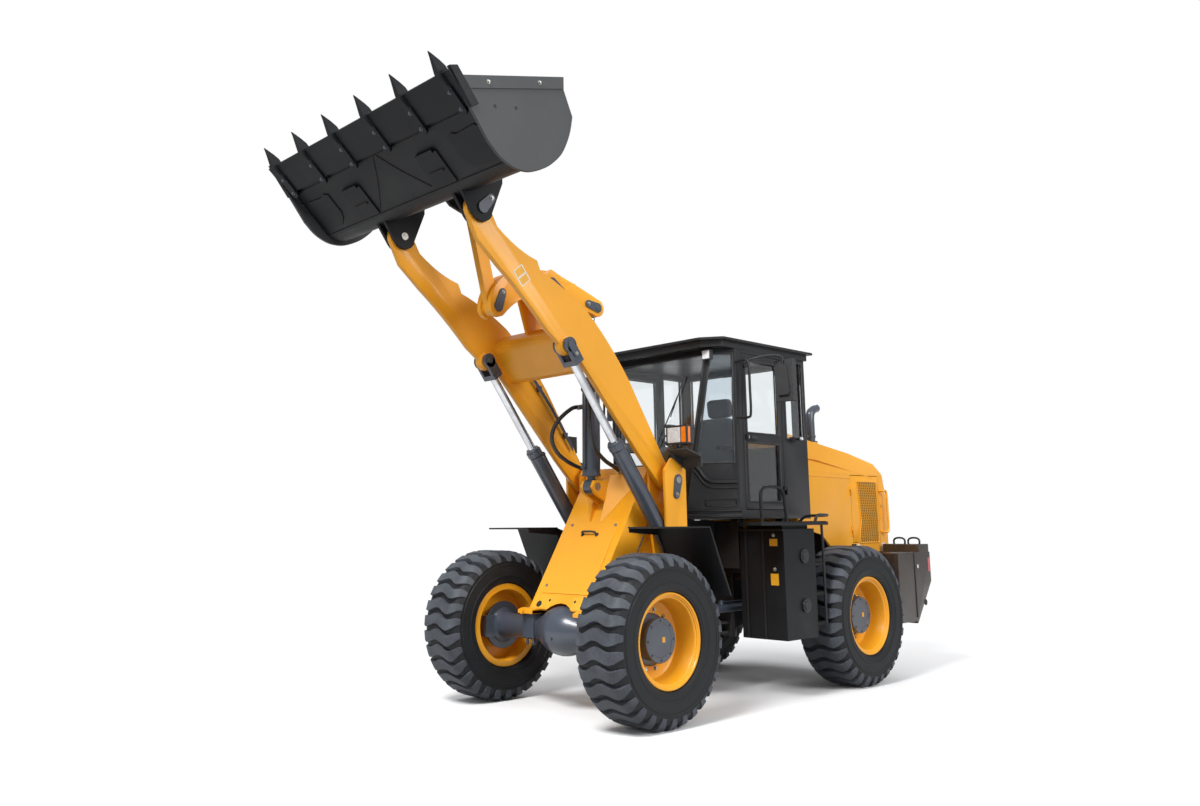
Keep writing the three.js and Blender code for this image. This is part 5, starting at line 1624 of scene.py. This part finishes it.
def soft_world():
    """Soft light from all round, with a white backdrop behind the machine."""
    world = bpy.data.worlds.new("soft_studio")
    world.use_nodes = True
    tree = world.node_tree
    node = node_maker(tree)
    background = tree.nodes["Background"]
    background.inputs["Color"].default_value = (0.95, 0.97, 1.0, 1)
    background.inputs["Strength"].default_value = 0.6
    backdrop = node("Background", Color=(1, 1, 1, 1), Strength=1.0)
    mix = node("MixShader")
    tree.links.new(seen_ray(node, tree.links, "Camera", "Transmission"), mix.inputs["Fac"])
    tree.links.new(background.outputs["Background"], mix.inputs[1])
    tree.links.new(backdrop.outputs["Background"], mix.inputs[2])
    tree.links.new(mix.outputs["Shader"], tree.nodes["World Output"].inputs["Surface"])
    return world


# name, place, size, power
LAMPS = (
    ("key", (7.5, 2.0, 9.5), 4.0, 1450),
    ("fill", (-1.0, 10.0, 6.5), 6.0, 620),
    ("back", (-9.0, -5.0, 8.0), 6.0, 420),
)
LAMPS_AIM = Vector((0, 0, 1.5))
CAMERA_PLACE = (6.958, 6.135, 1.521)
CAMERA_YAW, CAMERA_PITCH, CAMERA_ROLL = (math.radians(a) for a in (227.893, 8.208, -0.526))
CAMERA_LENS = {"sensor_width": 36, "lens": 30.04, "shift_x": 0.0601, "shift_y": -0.0185, "clip_end": 300}


def hold(data, place, turn):
    """Puts a lamp or camera in the scene."""
    holder = bpy.data.objects.new(data.name, data)
    holder.location = place
    holder.rotation_euler = turn.to_euler()
    bpy.context.scene.collection.objects.link(holder)
    return holder


class LOADER_OT_stage(bpy.types.Operator):
    """Plain pale floor, soft light and the camera"""

    bl_idname = "loader.stage"
    bl_label = "Stage"

    def execute(self, context):
        scene = context.scene
        scene.view_settings.view_transform = "Standard"
        floor = bpy.data.meshes.new("floor")
        corners = rectangle(-FLOOR_REACH, -FLOOR_REACH, FLOOR_REACH, FLOOR_REACH)
        floor.from_pydata([(x, y, 0) for x, y in corners], [], [(0, 1, 2, 3)])
        ground = bpy.data.objects.new("floor", floor)
        scene.collection.objects.link(ground)
        floor.materials.append(floor_finish())
        scene.world = soft_world()

        for name, place, size, power in LAMPS:
            lamp = bpy.data.lights.new(name, "AREA")
            lamp.shape = "DISK"
            lamp.size = size
            lamp.energy = power
            hold(lamp, place, (LAMPS_AIM - Vector(place)).to_track_quat("-Z", "Y"))

        eye = bpy.data.cameras.new("camera")
        for key, value in CAMERA_LENS.items():
            setattr(eye, key, value)
        flat = math.cos(CAMERA_PITCH)
        aim = Vector((flat * math.cos(CAMERA_YAW), flat * math.sin(CAMERA_YAW), math.sin(CAMERA_PITCH)))
        turn = aim.to_track_quat("-Z", "Y").to_matrix() @ Matrix.Rotation(CAMERA_ROLL, 3, "Z")
        scene.camera = hold(eye, CAMERA_PLACE, turn)
        return {"FINISHED"}


# ---------------------------------------------------------------- panel and registration

OPERATORS = (
    LOADER_OT_stage,
    LOADER_OT_wheels,
    LOADER_OT_axles,
    LOADER_OT_cylinders,
    LOADER_OT_linkage,
    LOADER_OT_bucket,
    LOADER_OT_front_frame,
    LOADER_OT_cab,
    LOADER_OT_operator_place,
    LOADER_OT_hood,
    LOADER_OT_chassis,
    LOADER_OT_hoses,
)


class LOADER_PT_panel(bpy.types.Panel):
    """Lists the loader's pieces in the sidebar"""

    bl_idname = "LOADER_PT_panel"
    bl_label = "Wheel loader"
    bl_space_type = "VIEW_3D"
    bl_region_type = "UI"
    bl_category = "Loader"

    def draw(self, context):
        for group in (context.scene.loader_sizes, context.scene.loader_colours):
            for name in group.__annotations__:
                self.layout.prop(group, name)
        for operator in OPERATORS:
            self.layout.operator(operator.bl_idname)


CLASSES = (LoaderSizes, LoaderColours, *OPERATORS, LOADER_PT_panel)


def register():
    for made in CLASSES:
        bpy.utils.register_class(made)
    bpy.types.Scene.loader_sizes = PointerProperty(type=LoaderSizes)
    bpy.types.Scene.loader_colours = PointerProperty(type=LoaderColours)


def unregister():
    del bpy.types.Scene.loader_colours
    del bpy.types.Scene.loader_sizes
    for made in reversed(CLASSES):
        bpy.utils.unregister_class(made)


def main():
    register()
    for operator in OPERATORS:
        group, name = operator.bl_idname.split(".")
        result = getattr(getattr(bpy.ops, group), name)()
        if "FINISHED" not in result:
            raise RuntimeError(f"{operator.bl_label} was not made")


if __name__ == "__main__":
    main()
